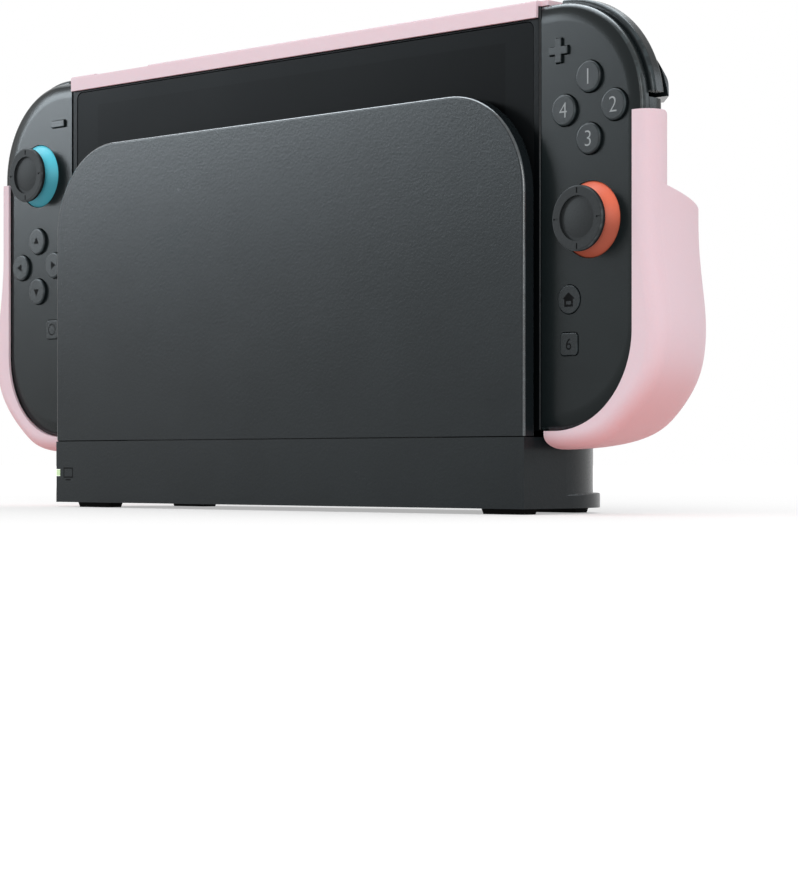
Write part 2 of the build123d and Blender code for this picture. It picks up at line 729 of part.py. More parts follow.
def console_frame():
    body = console_box(FACE_Y, COVER_SPLIT_Y)
    rim = body.faces().sort_by(Axis.Y)[0].edges()
    body = fillet(rim, CONSOLE_EDGE_RADIUS)
    body = body - slab(screen_view(SCREEN_GAP), FACE_Y, MIDPLATE_Y)
    inner = SIDE_X - SIDE_WALL
    body = body - block(
        -inner, inner, MIDPLATE_BACK_Y, COVER_SPLIT_Y, BOTTOM_Z + CONSOLE_WALL, TOP_Z - CONSOLE_WALL
    )
    body = body - rail_recesses()
    pocket = SlotOverall(PLUG_WIDTH + 2 * PLUG_POCKET_GAP, PLUG_THICKNESS + 2 * PLUG_POCKET_GAP)
    mount = block(
        -PLUG_CARRIER_WIDTH / 2, PLUG_CARRIER_WIDTH / 2, MIDPLATE_BACK_Y, COVER_SPLIT_Y,
        BOTTOM_Z + CONSOLE_WALL / 2, BOTTOM_Z + PLUG_HEIGHT + CONSOLE_WALL,
    )
    body = body + mount
    body = body - plate(Pos(0, MIDDLE_Y) * pocket, BOTTOM_Z, BOTTOM_Z + PLUG_HEIGHT + PLUG_POCKET_GAP)
    wall_low = TOP_Z - CONSOLE_WALL
    for place, length in TOP_KEYS:
        body = body - plate(Pos(place, TOP_KEY_Y) * top_key_view(length, KEY_GAP), wall_low, TOP_Z)
    pivot_z = key_flange_top() - TOP_KEY_FLANGE_HEIGHT / 2
    reach = VOLUME_KEY_LENGTH / 4
    for side in (-1, 1):
        y = TOP_KEY_Y + side * (TOP_KEY_WIDTH / 2 + TOP_KEY_FLANGE + VOLUME_PIN_RADIUS)
        ear = block(
            VOLUME_KEY_PLACE - reach / 2, VOLUME_KEY_PLACE + reach / 2, y - VOLUME_PIN_RADIUS / 2,
            y + VOLUME_PIN_RADIUS / 2, pivot_z - 2 * VOLUME_PIN_RADIUS, wall_low + CONSOLE_WALL / 2,
        )
        hole = rod(
            (VOLUME_KEY_PLACE, y - 2 * VOLUME_PIN_RADIUS, pivot_z),
            (VOLUME_KEY_PLACE, y + 2 * VOLUME_PIN_RADIUS, pivot_z), VOLUME_PIN_RADIUS + PIN_GAP,
        )
        body = body + ear - hole
    recess_low = TOP_Z - FLAP_THICKNESS - FLAP_SWING_GAP
    body = body - block(
        FLAP_LEFT_X - KEY_GAP, FLAP_RIGHT_X + KEY_GAP, FLAP_FRONT_Y - KEY_GAP,
        FLAP_FRONT_Y + FLAP_WIDTH + KEY_GAP, recess_low, TOP_Z,
    )
    body = body + block(
        FLAP_LEFT_X, FLAP_RIGHT_X, MIDPLATE_BACK_Y, COVER_SPLIT_Y, TOP_Z - CARD_SLOT_DEPTH - CONSOLE_WALL,
        recess_low - CONSOLE_WALL / 2,
    )
    slot_half = CARD_SLOT_LENGTH / 2
    slot_front = TOP_KEY_Y - CARD_SLOT_WIDTH / 2
    body = body - block(
        FLAP_PLACE - slot_half, FLAP_PLACE + slot_half, slot_front, slot_front + CARD_SLOT_WIDTH,
        TOP_Z - CARD_SLOT_DEPTH, TOP_Z,
    )
    pin_reach = FLAP_LENGTH / 2 + CONSOLE_WALL
    body = body - rod(
        (FLAP_PLACE - pin_reach - KEY_GAP, FLAP_PIN_Y, FLAP_PIN_Z),
        (FLAP_PLACE + pin_reach + KEY_GAP, FLAP_PIN_Y, FLAP_PIN_Z), FLAP_PIN_RADIUS + PIN_GAP,
    )
    for place in vent_places():
        body = body - plate(Pos(place, TOP_KEY_Y) * SlotOverall(VENT_LENGTH, VENT_WIDTH), wall_low, TOP_Z)
    board_low = TOP_Z - CONSOLE_BOARD_DROP - CONSOLE_BOARD_HEIGHT
    for x, z in standoff_places(CONSOLE_BOARD_WIDTH, board_low, CONSOLE_BOARD_HEIGHT, CONSOLE_STANDOFF_INSET):
        body = body + rod(
            (x, MIDPLATE_BACK_Y - MIDPLATE_THICKNESS / 2, z), (x, MIDPLATE_BACK_Y + CONSOLE_STANDOFF, z),
            CONSOLE_STANDOFF_RADIUS,
        )
    fan_z = fan_level()
    return body + rod(
        (FAN_PLACE, MIDPLATE_BACK_Y - MIDPLATE_THICKNESS / 2, fan_z),
        (FAN_PLACE, MIDPLATE_BACK_Y + FAN_LIFT + FAN_THICKNESS, fan_z), FAN_PIN_RADIUS,
    )


def fan_level():
    return TOP_Z - CONSOLE_BOARD_DROP - CONSOLE_BOARD_HEIGHT / 2


def console_rear_cover():
    body = console_box(COVER_SPLIT_Y, BACK_Y)
    body = fillet(body.faces().sort_by(Axis.Y)[-1].edges(), CONSOLE_EDGE_RADIUS)
    skin = KICKSTAND_THICKNESS + CONSOLE_WALL / 2
    low = BOTTOM_Z + KICKSTAND_RISE + KICKSTAND_HEIGHT + KICKSTAND_BAR
    half = SIDE_X - SIDE_WALL
    high = TOP_Z - CONSOLE_WALL
    body = body - block(-half, half, COVER_SPLIT_Y, BACK_Y - skin, BOTTOM_Z + CONSOLE_WALL, high)
    body = body - block(-half, half, COVER_SPLIT_Y, BACK_Y - CONSOLE_WALL, low, high)
    body = body - rail_recesses()
    recess_front = BACK_Y - KICKSTAND_THICKNESS - KICKSTAND_GAP / 2
    body = body - slab(kickstand_view(KICKSTAND_GAP), recess_front, BACK_Y)
    for hole in kickstand_pins(KICKSTAND_GAP, KICKSTAND_PIN_RADIUS + PIN_GAP):
        body = body - hole
    return body


def console_power_button():
    high = key_flange_top()
    view = Pos(POWER_KEY_PLACE, TOP_KEY_Y) * top_key_view(POWER_KEY_LENGTH)
    cap = plate(view, high, TOP_Z + TOP_KEY_PROUD)
    cap = fillet(cap.faces().sort_by(Axis.Z)[-1].edges(), SMALL_KEY_EDGE)
    flange = top_key_view(POWER_KEY_LENGTH, TOP_KEY_FLANGE)
    return cap + plate(Pos(POWER_KEY_PLACE, TOP_KEY_Y) * flange, high - TOP_KEY_FLANGE_HEIGHT, high)


def console_volume_rocker():
    high = key_flange_top()
    view = Pos(VOLUME_KEY_PLACE, TOP_KEY_Y) * top_key_view(VOLUME_KEY_LENGTH)
    cap = plate(view, high, TOP_Z + TOP_KEY_PROUD)
    cap = fillet(cap.faces().sort_by(Axis.Z)[-1].edges(), SMALL_KEY_EDGE)
    short = VOLUME_KEY_LENGTH / 2
    bar = block(
        VOLUME_KEY_PLACE - short / 2, VOLUME_KEY_PLACE + short / 2, TOP_KEY_Y - TOP_KEY_WIDTH / 2,
        TOP_KEY_Y + TOP_KEY_WIDTH / 2, high - TOP_KEY_FLANGE_HEIGHT, high,
    )
    pivot_z = high - TOP_KEY_FLANGE_HEIGHT / 2
    reach = TOP_KEY_WIDTH / 2 + TOP_KEY_FLANGE + 1.5 * VOLUME_PIN_RADIUS
    pin = rod(
        (VOLUME_KEY_PLACE, TOP_KEY_Y - reach, pivot_z), (VOLUME_KEY_PLACE, TOP_KEY_Y + reach, pivot_z),
        VOLUME_PIN_RADIUS,
    )
    return cap + bar + pin


def console_card_flap():
    flap = block(FLAP_LEFT_X, FLAP_RIGHT_X, FLAP_FRONT_Y, FLAP_PIN_Y, TOP_Z - FLAP_THICKNESS, TOP_Z)
    barrel = rod(
        (FLAP_LEFT_X, FLAP_PIN_Y, FLAP_PIN_Z), (FLAP_RIGHT_X, FLAP_PIN_Y, FLAP_PIN_Z), FLAP_THICKNESS / 2
    )
    reach = FLAP_LENGTH / 2 + CONSOLE_WALL
    pin = rod(
        (FLAP_PLACE - reach, FLAP_PIN_Y, FLAP_PIN_Z), (FLAP_PLACE + reach, FLAP_PIN_Y, FLAP_PIN_Z),
        FLAP_PIN_RADIUS,
    )
    return flap + barrel + pin


def console_battery():
    low = BOTTOM_Z + PLUG_HEIGHT + CONSOLE_WALL + BATTERY_GAP
    half = BATTERY_WIDTH / 2
    back = MIDPLATE_BACK_Y + BATTERY_THICKNESS
    cell = block(-half, half, MIDPLATE_BACK_Y, back, low, low + BATTERY_HEIGHT)
    return fillet(cell.edges().filter_by(Axis.X), CONSOLE_EDGE_RADIUS)


def console_main_board():
    low = TOP_Z - CONSOLE_BOARD_DROP - CONSOLE_BOARD_HEIGHT
    front = MIDPLATE_BACK_Y + CONSOLE_STANDOFF
    half = CONSOLE_BOARD_WIDTH / 2
    board = block(-half, half, front, front + CONSOLE_BOARD_THICKNESS, low, low + CONSOLE_BOARD_HEIGHT)
    fan = rod(
        (FAN_PLACE, front, fan_level()), (FAN_PLACE, front + CONSOLE_BOARD_THICKNESS, fan_level()),
        FAN_RADIUS + FAN_ROOM,
    )
    card = block(
        FLAP_LEFT_X - KEY_GAP, FLAP_RIGHT_X + KEY_GAP, front, front + CONSOLE_BOARD_THICKNESS,
        TOP_Z - CARD_SLOT_DEPTH - CONSOLE_WALL - KEY_GAP, TOP_Z,
    )
    return board - fan - card


def console_fan_rotor():
    """Blower wheel that turns on a pin of the console's frame."""
    start = MIDPLATE_BACK_Y + FAN_LIFT
    end = start + FAN_THICKNESS
    z = fan_level()
    wheel = rod((FAN_PLACE, start, z), (FAN_PLACE, end, z), FAN_HUB_RADIUS)
    reach = FAN_RADIUS - FAN_HUB_RADIUS / 2
    blade = Pos(FAN_HUB_RADIUS / 2 + reach / 2, 0) * Rectangle(reach, FAN_BLADE_THICKNESS)
    for i in range(FAN_BLADES):
        turned = Pos(FAN_PLACE, z) * Rot(0, 0, 360 * i / FAN_BLADES) * blade
        wheel = wheel + slab(turned, start, end)
    return wheel - rod((FAN_PLACE, start, z), (FAN_PLACE, end, z), FAN_PIN_RADIUS + FAN_PIN_GAP)


# Protective case


def case_back_panel():
    reach = SIDE_X + CASE_OVERLAP
    front = FACE_Y - CASE_GAP - CASE_LIP_SKIN
    under = TOP_Z + CASE_GAP
    strip = block(-reach, reach, front, CASE_BACK_Y, TOP_Z - CASE_LIP_DROP, under + CASE_TOP_SKIN)
    long_edges = strip.edges().filter_by(Axis.X).group_by(Axis.Z)[-1]
    strip = fillet(long_edges, CASE_EDGE_RADIUS)
    strip = strip - block(-reach, reach, FACE_Y - CASE_GAP, BACK_Y + CASE_GAP, TOP_Z - CASE_LIP_DROP, under)
    high = under + CASE_TOP_SKIN
    lip_end = SIDE_X - CASE_LIP_INSET
    for left, right in [(-reach, -lip_end), (lip_end, reach)]:
        strip = strip - block(left, right, front, FACE_Y + CASE_LIP_SKIN, TOP_Z - CASE_LIP_DROP, high)
    key_left = POWER_KEY_PLACE - POWER_KEY_LENGTH / 2 - CASE_WINDOW_MARGIN
    key_right = VOLUME_KEY_PLACE + VOLUME_KEY_LENGTH / 2 + CASE_WINDOW_MARGIN
    strip = strip - block(key_left, key_right, front, CASE_BACK_Y, high - CASE_WINDOW_DIP, high)
    flap_reach = FLAP_LENGTH / 2 + CONSOLE_WALL + CASE_WINDOW_MARGIN
    window_front = FLAP_FRONT_Y - CASE_WINDOW_MARGIN
    for left, right in [(key_left, key_right), (FLAP_PLACE - flap_reach, FLAP_PLACE + flap_reach)]:
        strip = strip - block(left, right, window_front, CASE_BACK_Y, TOP_Z - CASE_LIP_DROP, high)
    vent = VENT_PITCH * VENT_COUNT / 2
    strip = strip - block(-vent, vent, TOP_KEY_Y - VENT_WIDTH, TOP_KEY_Y + VENT_WIDTH, under, high)
    upper = rectangle(-SIDE_X, SIDE_X, TOP_Z - CASE_BACK_DROP, TOP_Z - CASE_LIP_DROP)
    arms = [
        rectangle(x, x + CASE_ARM_WIDTH, TOP_Z - CASE_ARM_DROP, TOP_Z - CASE_LIP_DROP)
        for x in (-SIDE_X, SIDE_X - CASE_ARM_WIDTH)
    ]
    view = upper + arms[0] + arms[1]
    lower_corners = view.vertices().group_by(Axis.Y)[0]
    view = fillet(lower_corners, CASE_CORNER_RADIUS)
    panel = slab(view, BACK_Y + CASE_GAP, CASE_BACK_Y)
    return strip + panel


def grip_curve_points():
    """Outer side of a grip from its straight part to its inner end, seen from the front."""
    return [
        (OUTER_X + GRIP_WALL, BOTTOM_Z + GRIP_STRAIGHT_RISE),
        (OUTER_X + GRIP_BELLY_OUT, BOTTOM_Z + GRIP_BELLY_RISE),
        (OUTER_X + GRIP_HEEL_OUT, BOTTOM_Z + GRIP_HEEL_RISE),
        (OUTER_X - GRIP_TURN_IN, BOTTOM_Z + GRIP_TURN_RISE),
        (SIDE_X + GRIP_INNER_OUT, BOTTOM_Z - GRIP_BOTTOM_WALL),
    ]


def grip_view(top_z, place=lambda x, z: (x, z)):
    """Outline of a grip up to a level, with each point moved by a rule."""
    points = [place(x, z) for x, z in grip_curve_points()]
    inner = SIDE_X + GRIP_INNER_OUT
    top_outer = place(OUTER_X + GRIP_WALL, top_z)
    top_inner = place(inner, top_z)
    curve = Spline(*points, tangents=[(0, -1), (-1, 0)])
    lines = Polyline(points[-1], top_inner, top_outer, points[0])
    return make_face(Curve() + [curve, lines])


def palm_section(step, wall):
    """One section of the palm swell: how deep it lies, and the outline there."""
    start = GRIP_REAR_Y - GRIP_REAR_ROUND
    end = BACK_Y + PALM_DEPTH - wall
    y = start + (end - start) * step
    turn = 1 - math.sqrt(1 - step**2)
    side = PALM_SIDE_ROUND * turn + wall
    bottom = PALM_BOTTOM_ROUND * turn + wall
    inner = PALM_INNER_ROUND * step**3 + wall
    top = PALM_TOP_SLOPE * step + wall
    x0 = SIDE_X + GRIP_INNER_OUT
    x1 = OUTER_X + GRIP_WALL
    z0 = BOTTOM_Z - GRIP_BOTTOM_WALL
    z1 = BOTTOM_Z + PALM_TOP_RISE
    x_scale = (x1 - x0 - side - inner) / (x1 - x0)
    z_scale = (z1 - z0 - bottom - top) / (z1 - z0)

    def place(x, z):
        return (x0 + inner + (x - x0) * x_scale, z0 + bottom + (z - z0) * z_scale)

    return Plane.XZ.offset(-y) * grip_view(z1, place)


def palm_swell(wall=0.0):
    """Swell behind the controller that fills the palm."""
    shares = [math.sin(math.pi / 2 * i / PALM_STEPS) for i in range(PALM_STEPS + 1)]
    return loft([palm_section(share, wall) for share in shares])


def grip_opening():
    """Opening for the controller's face, seen from the front."""
    shape = rectangle(INNER_X - CASE_GAP, OUTER_X - GRIP_LIP, BOTTOM_Z - CASE_GAP, TOP_Z)
    lower_outer = shape.vertices().sort_by_distance((OUTER_X, BOTTOM_Z, 0))[0]
    return fillet(lower_outer, CONTROLLER_CORNER_RADIUS - GRIP_LIP)


def grip_tip_corner():
    """Corner that is taken off the grip's inner end to round it, seen from the front."""
    x = SIDE_X + GRIP_INNER_OUT
    z = BOTTOM_Z - GRIP_BOTTOM_WALL
    square = rectangle(x - GRIP_TIP_RADIUS, x + GRIP_TIP_RADIUS, z - GRIP_TIP_RADIUS, z + GRIP_TIP_RADIUS)
    return square - Pos(x + GRIP_TIP_RADIUS, z + GRIP_TIP_RADIUS) * Circle(GRIP_TIP_RADIUS)


def case_grip():
    front = FACE_Y - CASE_GAP - GRIP_LIP_SKIN
    top_z = TOP_Z - GRIP_TOP_DROP
    body = slab(grip_view(top_z), front, GRIP_REAR_Y)
    inner = SIDE_X + GRIP_INNER_OUT + CASE_GAP

    def outer_chain(face):
        return face.edges().filter_by(lambda e: e.center().X > inner and e.center().Z < top_z - CASE_GAP)

    rear = outer_chain(body.faces().sort_by(Axis.Y)[-1])
    body = fillet(rear, GRIP_REAR_ROUND)
    body = fillet(outer_chain(body.faces().sort_by(Axis.Y)[0]), GRIP_FRONT_ROUND)
    side_view = rectangle(front, GRIP_REAR_Y, 0, top_z)
    upper_rear = side_view.vertices().sort_by_distance((GRIP_REAR_Y, top_z, 0))[0]
    body = body & across(fillet(upper_rear, GRIP_TOP_ROUND), SIDE_X, 2 * OUTER_X)
    body = body + palm_swell()
    body = body - (palm_swell(PALM_WALL) & block(0, 2 * OUTER_X, BACK_Y, HOUSING_REAR_Y, 0, TOP_Z))
    body = body - controller_form(CASE_GAP)
    body = body - slab(grip_opening(), front, MIDDLE_Y)
    return body - slab(grip_tip_corner(), front, HOUSING_REAR_Y)


# Controllers, drawn on the right-hand side and mirrored for the left


def controller_view(grow, inner_grow=None):
    """Controller seen from the front, grown on every side, or by another amount on its inner side."""
    inner = INNER_X - (grow if inner_grow is None else inner_grow)
    shape = rectangle(inner, OUTER_X + grow, BOTTOM_Z - grow, TOP_Z + grow)
    return fillet(shape.vertices().group_by(Axis.X)[-1], CONTROLLER_CORNER_RADIUS + grow)


def controller_form(grow):
    """Whole controller as one rounded block, grown on every side."""
    body = slab(controller_view(grow), FACE_Y - grow, BACK_Y + grow)
    inner = INNER_X - grow + PIN_GAP
    front = body.faces().sort_by(Axis.Y)[0].edges().filter_by(lambda e: e.center().X > inner)
    body = fillet(front, FRONT_EDGE_RADIUS)
    rear = body.faces().sort_by(Axis.Y)[-1].edges().filter_by(lambda e: e.center().X > inner)
    return fillet(rear, REAR_EDGE_RADIUS + grow)


def shell_between(y0, y1):
    """Controller's wall between two depths."""
    whole = controller_form(0) - controller_form(-CONTROLLER_WALL)
    return whole & block(0, 2 * OUTER_X, y0, y1, 0, 2 * TOP_Z)


def cluster_places(rise):
    """The four keys of a round cluster: name and place."""
    z = BOTTOM_Z + rise
    return {
        "up": (CLUSTER_X, z + CLUSTER_HALF_HEIGHT),
        "down": (CLUSTER_X, z - CLUSTER_HALF_HEIGHT),
        "inner": (CLUSTER_X - CLUSTER_HALF_WIDTH, z),
        "outer": (CLUSTER_X + CLUSTER_HALF_WIDTH, z),
    }


def round_view(x, z):
    return lambda grow: Pos(x, z) * Circle(ROUND_KEY_RADIUS + grow)


def house_view(x, z):
    return lambda grow: Pos(x, z) * Circle(HOUSE_KEY_RADIUS + grow)


def square_view(x, z):
    return lambda grow: Pos(x, z) * RectangleRounded(
        SQUARE_KEY_WIDTH + 2 * grow, SQUARE_KEY_WIDTH + 2 * grow, SQUARE_KEY_CORNER + grow
    )


def minus_view(x, z):
    return lambda grow: Pos(x, z) * Rectangle(SIGN_KEY_LENGTH + 2 * grow, SIGN_KEY_BAR + 2 * grow)


def plus_view(x, z):
    def view(grow):
        bar = Rectangle(SIGN_KEY_LENGTH + 2 * grow, SIGN_KEY_BAR + 2 * grow)
        return Pos(x, z) * (bar + Rot(0, 0, 90) * bar)

    return view


def controller_keys(names, cluster_rise, sign_view, small_keys):
    """Every key on one controller's face: name, view, how far it stands proud, and its edge radius."""
    keys = []
    for spot, (x, z) in cluster_places(cluster_rise).items():
        keys.append((names[spot], round_view(x, z), ROUND_KEY_PROUD, ROUND_KEY_EDGE, (x, z)))
    sign = (SIDE_X + SIGN_KEY_OUT, BOTTOM_Z + SIGN_KEY_RISE)
    keys.append((names["sign"], sign_view(*sign), SIGN_KEY_PROUD, SMALL_KEY_EDGE, sign))
    for name, view, rise in small_keys:
        place = (SIDE_X + SMALL_KEY_OUT, BOTTOM_Z + rise)
        keys.append((name, view(*place), SMALL_KEY_PROUD, SMALL_KEY_EDGE, place))
    return keys


def face_key(view, proud, edge, place):
    """Key with a cap in the face, a flange behind the wall and a plunger."""
    seat = FACE_Y + CONTROLLER_WALL + KEY_GAP
    cap = slab(view(0), FACE_Y - proud, seat)
    cap = fillet(cap.faces().sort_by(Axis.Y)[0].edges(), edge)
    flange = slab(view(KEY_FLANGE), seat, seat + KEY_FLANGE_THICKNESS)
    x, z = place
    plunger = rod((x, seat, z), (x, seat + PLUNGER_LENGTH, z), PLUNGER_RADIUS)
    return cap + flange + plunger


def stick_sphere(stick_z, radius):
    return Pos(CLUSTER_X, PIVOT_Y, stick_z) * Sphere(radius)


def front_shell(keys, stick_z):
    shell = shell_between(FACE_Y - FRONT_EDGE_RADIUS, SPLIT_Y - SHELL_SEAM / 2)
    for _, view, _, _, _ in keys:
        shell = shell - slab(view(KEY_GAP), FACE_Y, FACE_Y + CONTROLLER_WALL)
    return shell - stick_sphere(stick_z, SKIRT_RADIUS + STICK_HOLE_GAP)


SHOULDER_Y = SPLIT_Y + SHOULDER_FRONT_GAP
SHOULDER_END_Y = SHOULDER_Y + SHOULDER_DEPTH
TRIGGER_Y = SHOULDER_END_Y + TRIGGER_GAP
TRIGGER_PIN_Y = TRIGGER_Y + PIN_SETBACK
TRIGGER_PIN_Z = TOP_Z - TRIGGER_PIN_DROP
SHOULDER_PIN_X = SIDE_X + SHOULDER_PIN_OUT
SHOULDER_PIN_Z = TOP_Z - SHOULDER_PIN_DROP


def corner_band(outside, inside, inner_out, end_drop):
    """Band along the controller's upper outer corner, seen from the front."""
    ring = controller_view(outside) - controller_view(-inside, OUTER_X - INNER_X)
    reach = OUTER_X + outside + CONTROLLER_WALL
    return ring & rectangle(SIDE_X + inner_out, reach, TOP_Z - end_drop, TOP_Z + outside + CONTROLLER_WALL)


def is_outside(edge):
    """Whether an edge lies on the shoulder button's outer side."""
    point = edge.position_at(0.5)
    corner_x = OUTER_X - CONTROLLER_CORNER_RADIUS
    corner_z = TOP_Z - CONTROLLER_CORNER_RADIUS
    along = max(point.X - corner_x, 0)
    up = max(point.Z - corner_z, 0)
    return math.hypot(along, up) > CONTROLLER_CORNER_RADIUS


def shoulder_button():
    band = corner_band(SHOULDER_PROUD, SHOULDER_INSIDE, SHOULDER_INNER_OUT, SHOULDER_END_DROP)
    body = slab(band, SHOULDER_Y, SHOULDER_END_Y)
    low_x = SIDE_X + SHOULDER_INNER_OUT + CONTROLLER_WALL
    low_z = TOP_Z - SHOULDER_END_DROP + CONTROLLER_WALL
    middle = (SHOULDER_Y + SHOULDER_END_Y) / 2
    ends = body.edges().filter_by(lambda e: abs(e.center().Y - middle) > SHOULDER_DEPTH / 2 - PIN_GAP)
    chain = [
        edge for edge in ends if edge.center().X > low_x and edge.center().Z > low_z and is_outside(edge)
    ]
    body = fillet(chain, SHOULDER_EDGE_RADIUS)
    lug = block(
        SIDE_X + SHOULDER_INNER_OUT, SHOULDER_PIN_X + SHOULDER_LUG, SHOULDER_Y + SHOULDER_EDGE_RADIUS,
        SHOULDER_END_Y, SHOULDER_PIN_Z - SHOULDER_LUG, TOP_Z - SHOULDER_EDGE_RADIUS,
    )
    pin = rod(
        (SHOULDER_PIN_X, SHOULDER_END_Y - SHOULDER_LUG, SHOULDER_PIN_Z),
        (SHOULDER_PIN_X, TRIGGER_Y + SHOULDER_PIN_LENGTH, SHOULDER_PIN_Z), PIN_RADIUS,
    )
    return body + lug + pin


def trigger_side_view():
    """Trigger seen along X: Y first, then Z."""
    top = TOP_Z - TRIGGER_TOP_DROP
    crest = TOP_Z - TRIGGER_CREST_DROP
    end = TOP_Z - TRIGGER_END_DROP
    rear = FACE_Y + TRIGGER_REACH
    round_corners = {
        (BACK_Y - CONTROLLER_WALL, top): TRIGGER_TOP_ROUND,
        (rear, crest): TRIGGER_CREST_ROUND,
        (rear, end): TRIGGER_END_ROUND,
    }
    shape = make_face(Polyline(
        (TRIGGER_Y, top), *round_corners, (TRIGGER_Y + TRIGGER_PRESS_ROOM, end), (TRIGGER_Y, TRIGGER_PIN_Z),
        close=True,
    ))
    for (y, z), radius in round_corners.items():
        corner = shape.vertices().sort_by_distance((y, z, 0))[0]
        shape = fillet(corner, radius)
    return shape


def trigger_corner_view():
    """Trigger seen along the line between front and side: outward and back first, then Z."""
    inner = (INNER_X + FACE_Y) / math.sqrt(2)
    corner = (OUTER_X + BACK_Y) / math.sqrt(2)
    out = corner - TRIGGER_CREST_INSET
    crest = TOP_Z - TRIGGER_CREST_DROP
    low = TOP_Z - TRIGGER_END_DROP - CONTROLLER_WALL
    shape = make_face(Polyline(
        (inner, TOP_Z), (corner - TRIGGER_TOP_INSET, TOP_Z), (out, crest), (out, low), (inner, low), close=True,
    ))
    return fillet(shape.vertices().sort_by_distance((out, crest, 0))[0], TRIGGER_CREST_ROUND)


def trigger():
    """Trigger in the space that its front view, side view, corner view and plan have in common."""
    rear = FACE_Y + TRIGGER_REACH
    start = SIDE_X + TRIGGER_INNER_OUT
    band = corner_band(
        TRIGGER_PROUD, TRIGGER_BAND, TRIGGER_INNER_OUT - CONTROLLER_WALL, TRIGGER_END_DROP + CONTROLLER_WALL,
    )
    plan = rectangle(start, OUTER_X + CONTROLLER_WALL, SHOULDER_Y, rear + TRIGGER_PROUD)
    inner_rear = plan.vertices().sort_by_distance((start, rear, 0))[0]
    plan = fillet(inner_rear, TRIGGER_SIDE_ROUND)
    body = slab(band, SHOULDER_Y, rear + CONTROLLER_WALL)
    body = body & across(trigger_side_view(), INNER_X, OUTER_X + TRIGGER_BAND)
    body = body & plate(plan, BOTTOM_Z, TOP_Z + TRIGGER_BAND)
    corner_plane = Plane(origin=(0, 0, 0), x_dir=(1, 1, 0), z_dir=(1, -1, 0))
    body = body & extrude(corner_plane * trigger_corner_view(), amount=2 * OUTER_X, both=True)
    pin = rod(
        (start - TRIGGER_PIN_LENGTH, TRIGGER_PIN_Y, TRIGGER_PIN_Z),
        (start + TRIGGER_PIN_LENGTH, TRIGGER_PIN_Y, TRIGGER_PIN_Z), PIN_RADIUS,
    )
    return body + pin


def release_view(grow=0.0):
    x = SIDE_X + RELEASE_OUT
    z = BOTTOM_Z + RELEASE_RISE
    return Pos(x, z) * Rot(0, 0, 90) * SlotOverall(RELEASE_LENGTH + 2 * grow, RELEASE_WIDTH + 2 * grow)


def release_button():
    seat = BACK_Y - CONTROLLER_WALL - KEY_GAP
    cap = slab(release_view(), seat, BACK_Y + RELEASE_PROUD)
    cap = fillet(cap.faces().sort_by(Axis.Y)[-1].edges(), SMALL_KEY_EDGE)
    return cap + slab(release_view(KEY_FLANGE), seat - KEY_FLANGE_THICKNESS, seat)


def rail_key_levels():
    """Heights of the lower and the upper rail key."""
    return [RAIL_Z - RAIL_KEY_SPREAD, RAIL_Z + RAIL_KEY_SPREAD]


def rail_key_view(z, grow=0.0):
    """Rail key seen along X: Y first, then Z."""
    slot = SlotOverall(RAIL_KEY_LENGTH + 2 * grow, RAIL_KEY_WIDTH + 2 * grow)
    return Pos(MIDDLE_Y, z) * Rot(0, 0, 90) * slot


def rail_key(z):
    outer = INNER_X + CONTROLLER_WALL + KEY_GAP
    face = INNER_X - RAIL_PROUD
    cap = across(rail_key_view(z), face, outer)
    cap = fillet(cap.faces().sort_by(Axis.X)[0].edges(), SMALL_KEY_EDGE)
    return cap + across(rail_key_view(z, RAIL_KEY_FLANGE), outer, outer + KEY_FLANGE_THICKNESS)


def side_rail():
    rail = across(rail_view(), INNER_X - RAIL_PROUD, INNER_X)
    rail = fillet(rail.faces().sort_by(Axis.X)[0].edges(), RAIL_GAP)
    for z in rail_key_levels():
        rail = rail - across(rail_key_view(z, KEY_GAP), INNER_X - RAIL_PROUD, INNER_X)
    return rail


def board_boss_places():
    inner = INNER_X + 2 * BOARD_INNER_INSET + BOARD_BOSS_RADIUS
    outer = OUTER_X - 2 * BOARD_INSET
    low = BOTTOM_Z + 2 * BOARD_INSET + BOARD_BOSS_RADIUS
    high = BOTTOM_Z + LOWER_CLUSTER_RISE + 2 * CLUSTER_HALF_HEIGHT
    return [(inner, low), (inner, high), (outer, high)]


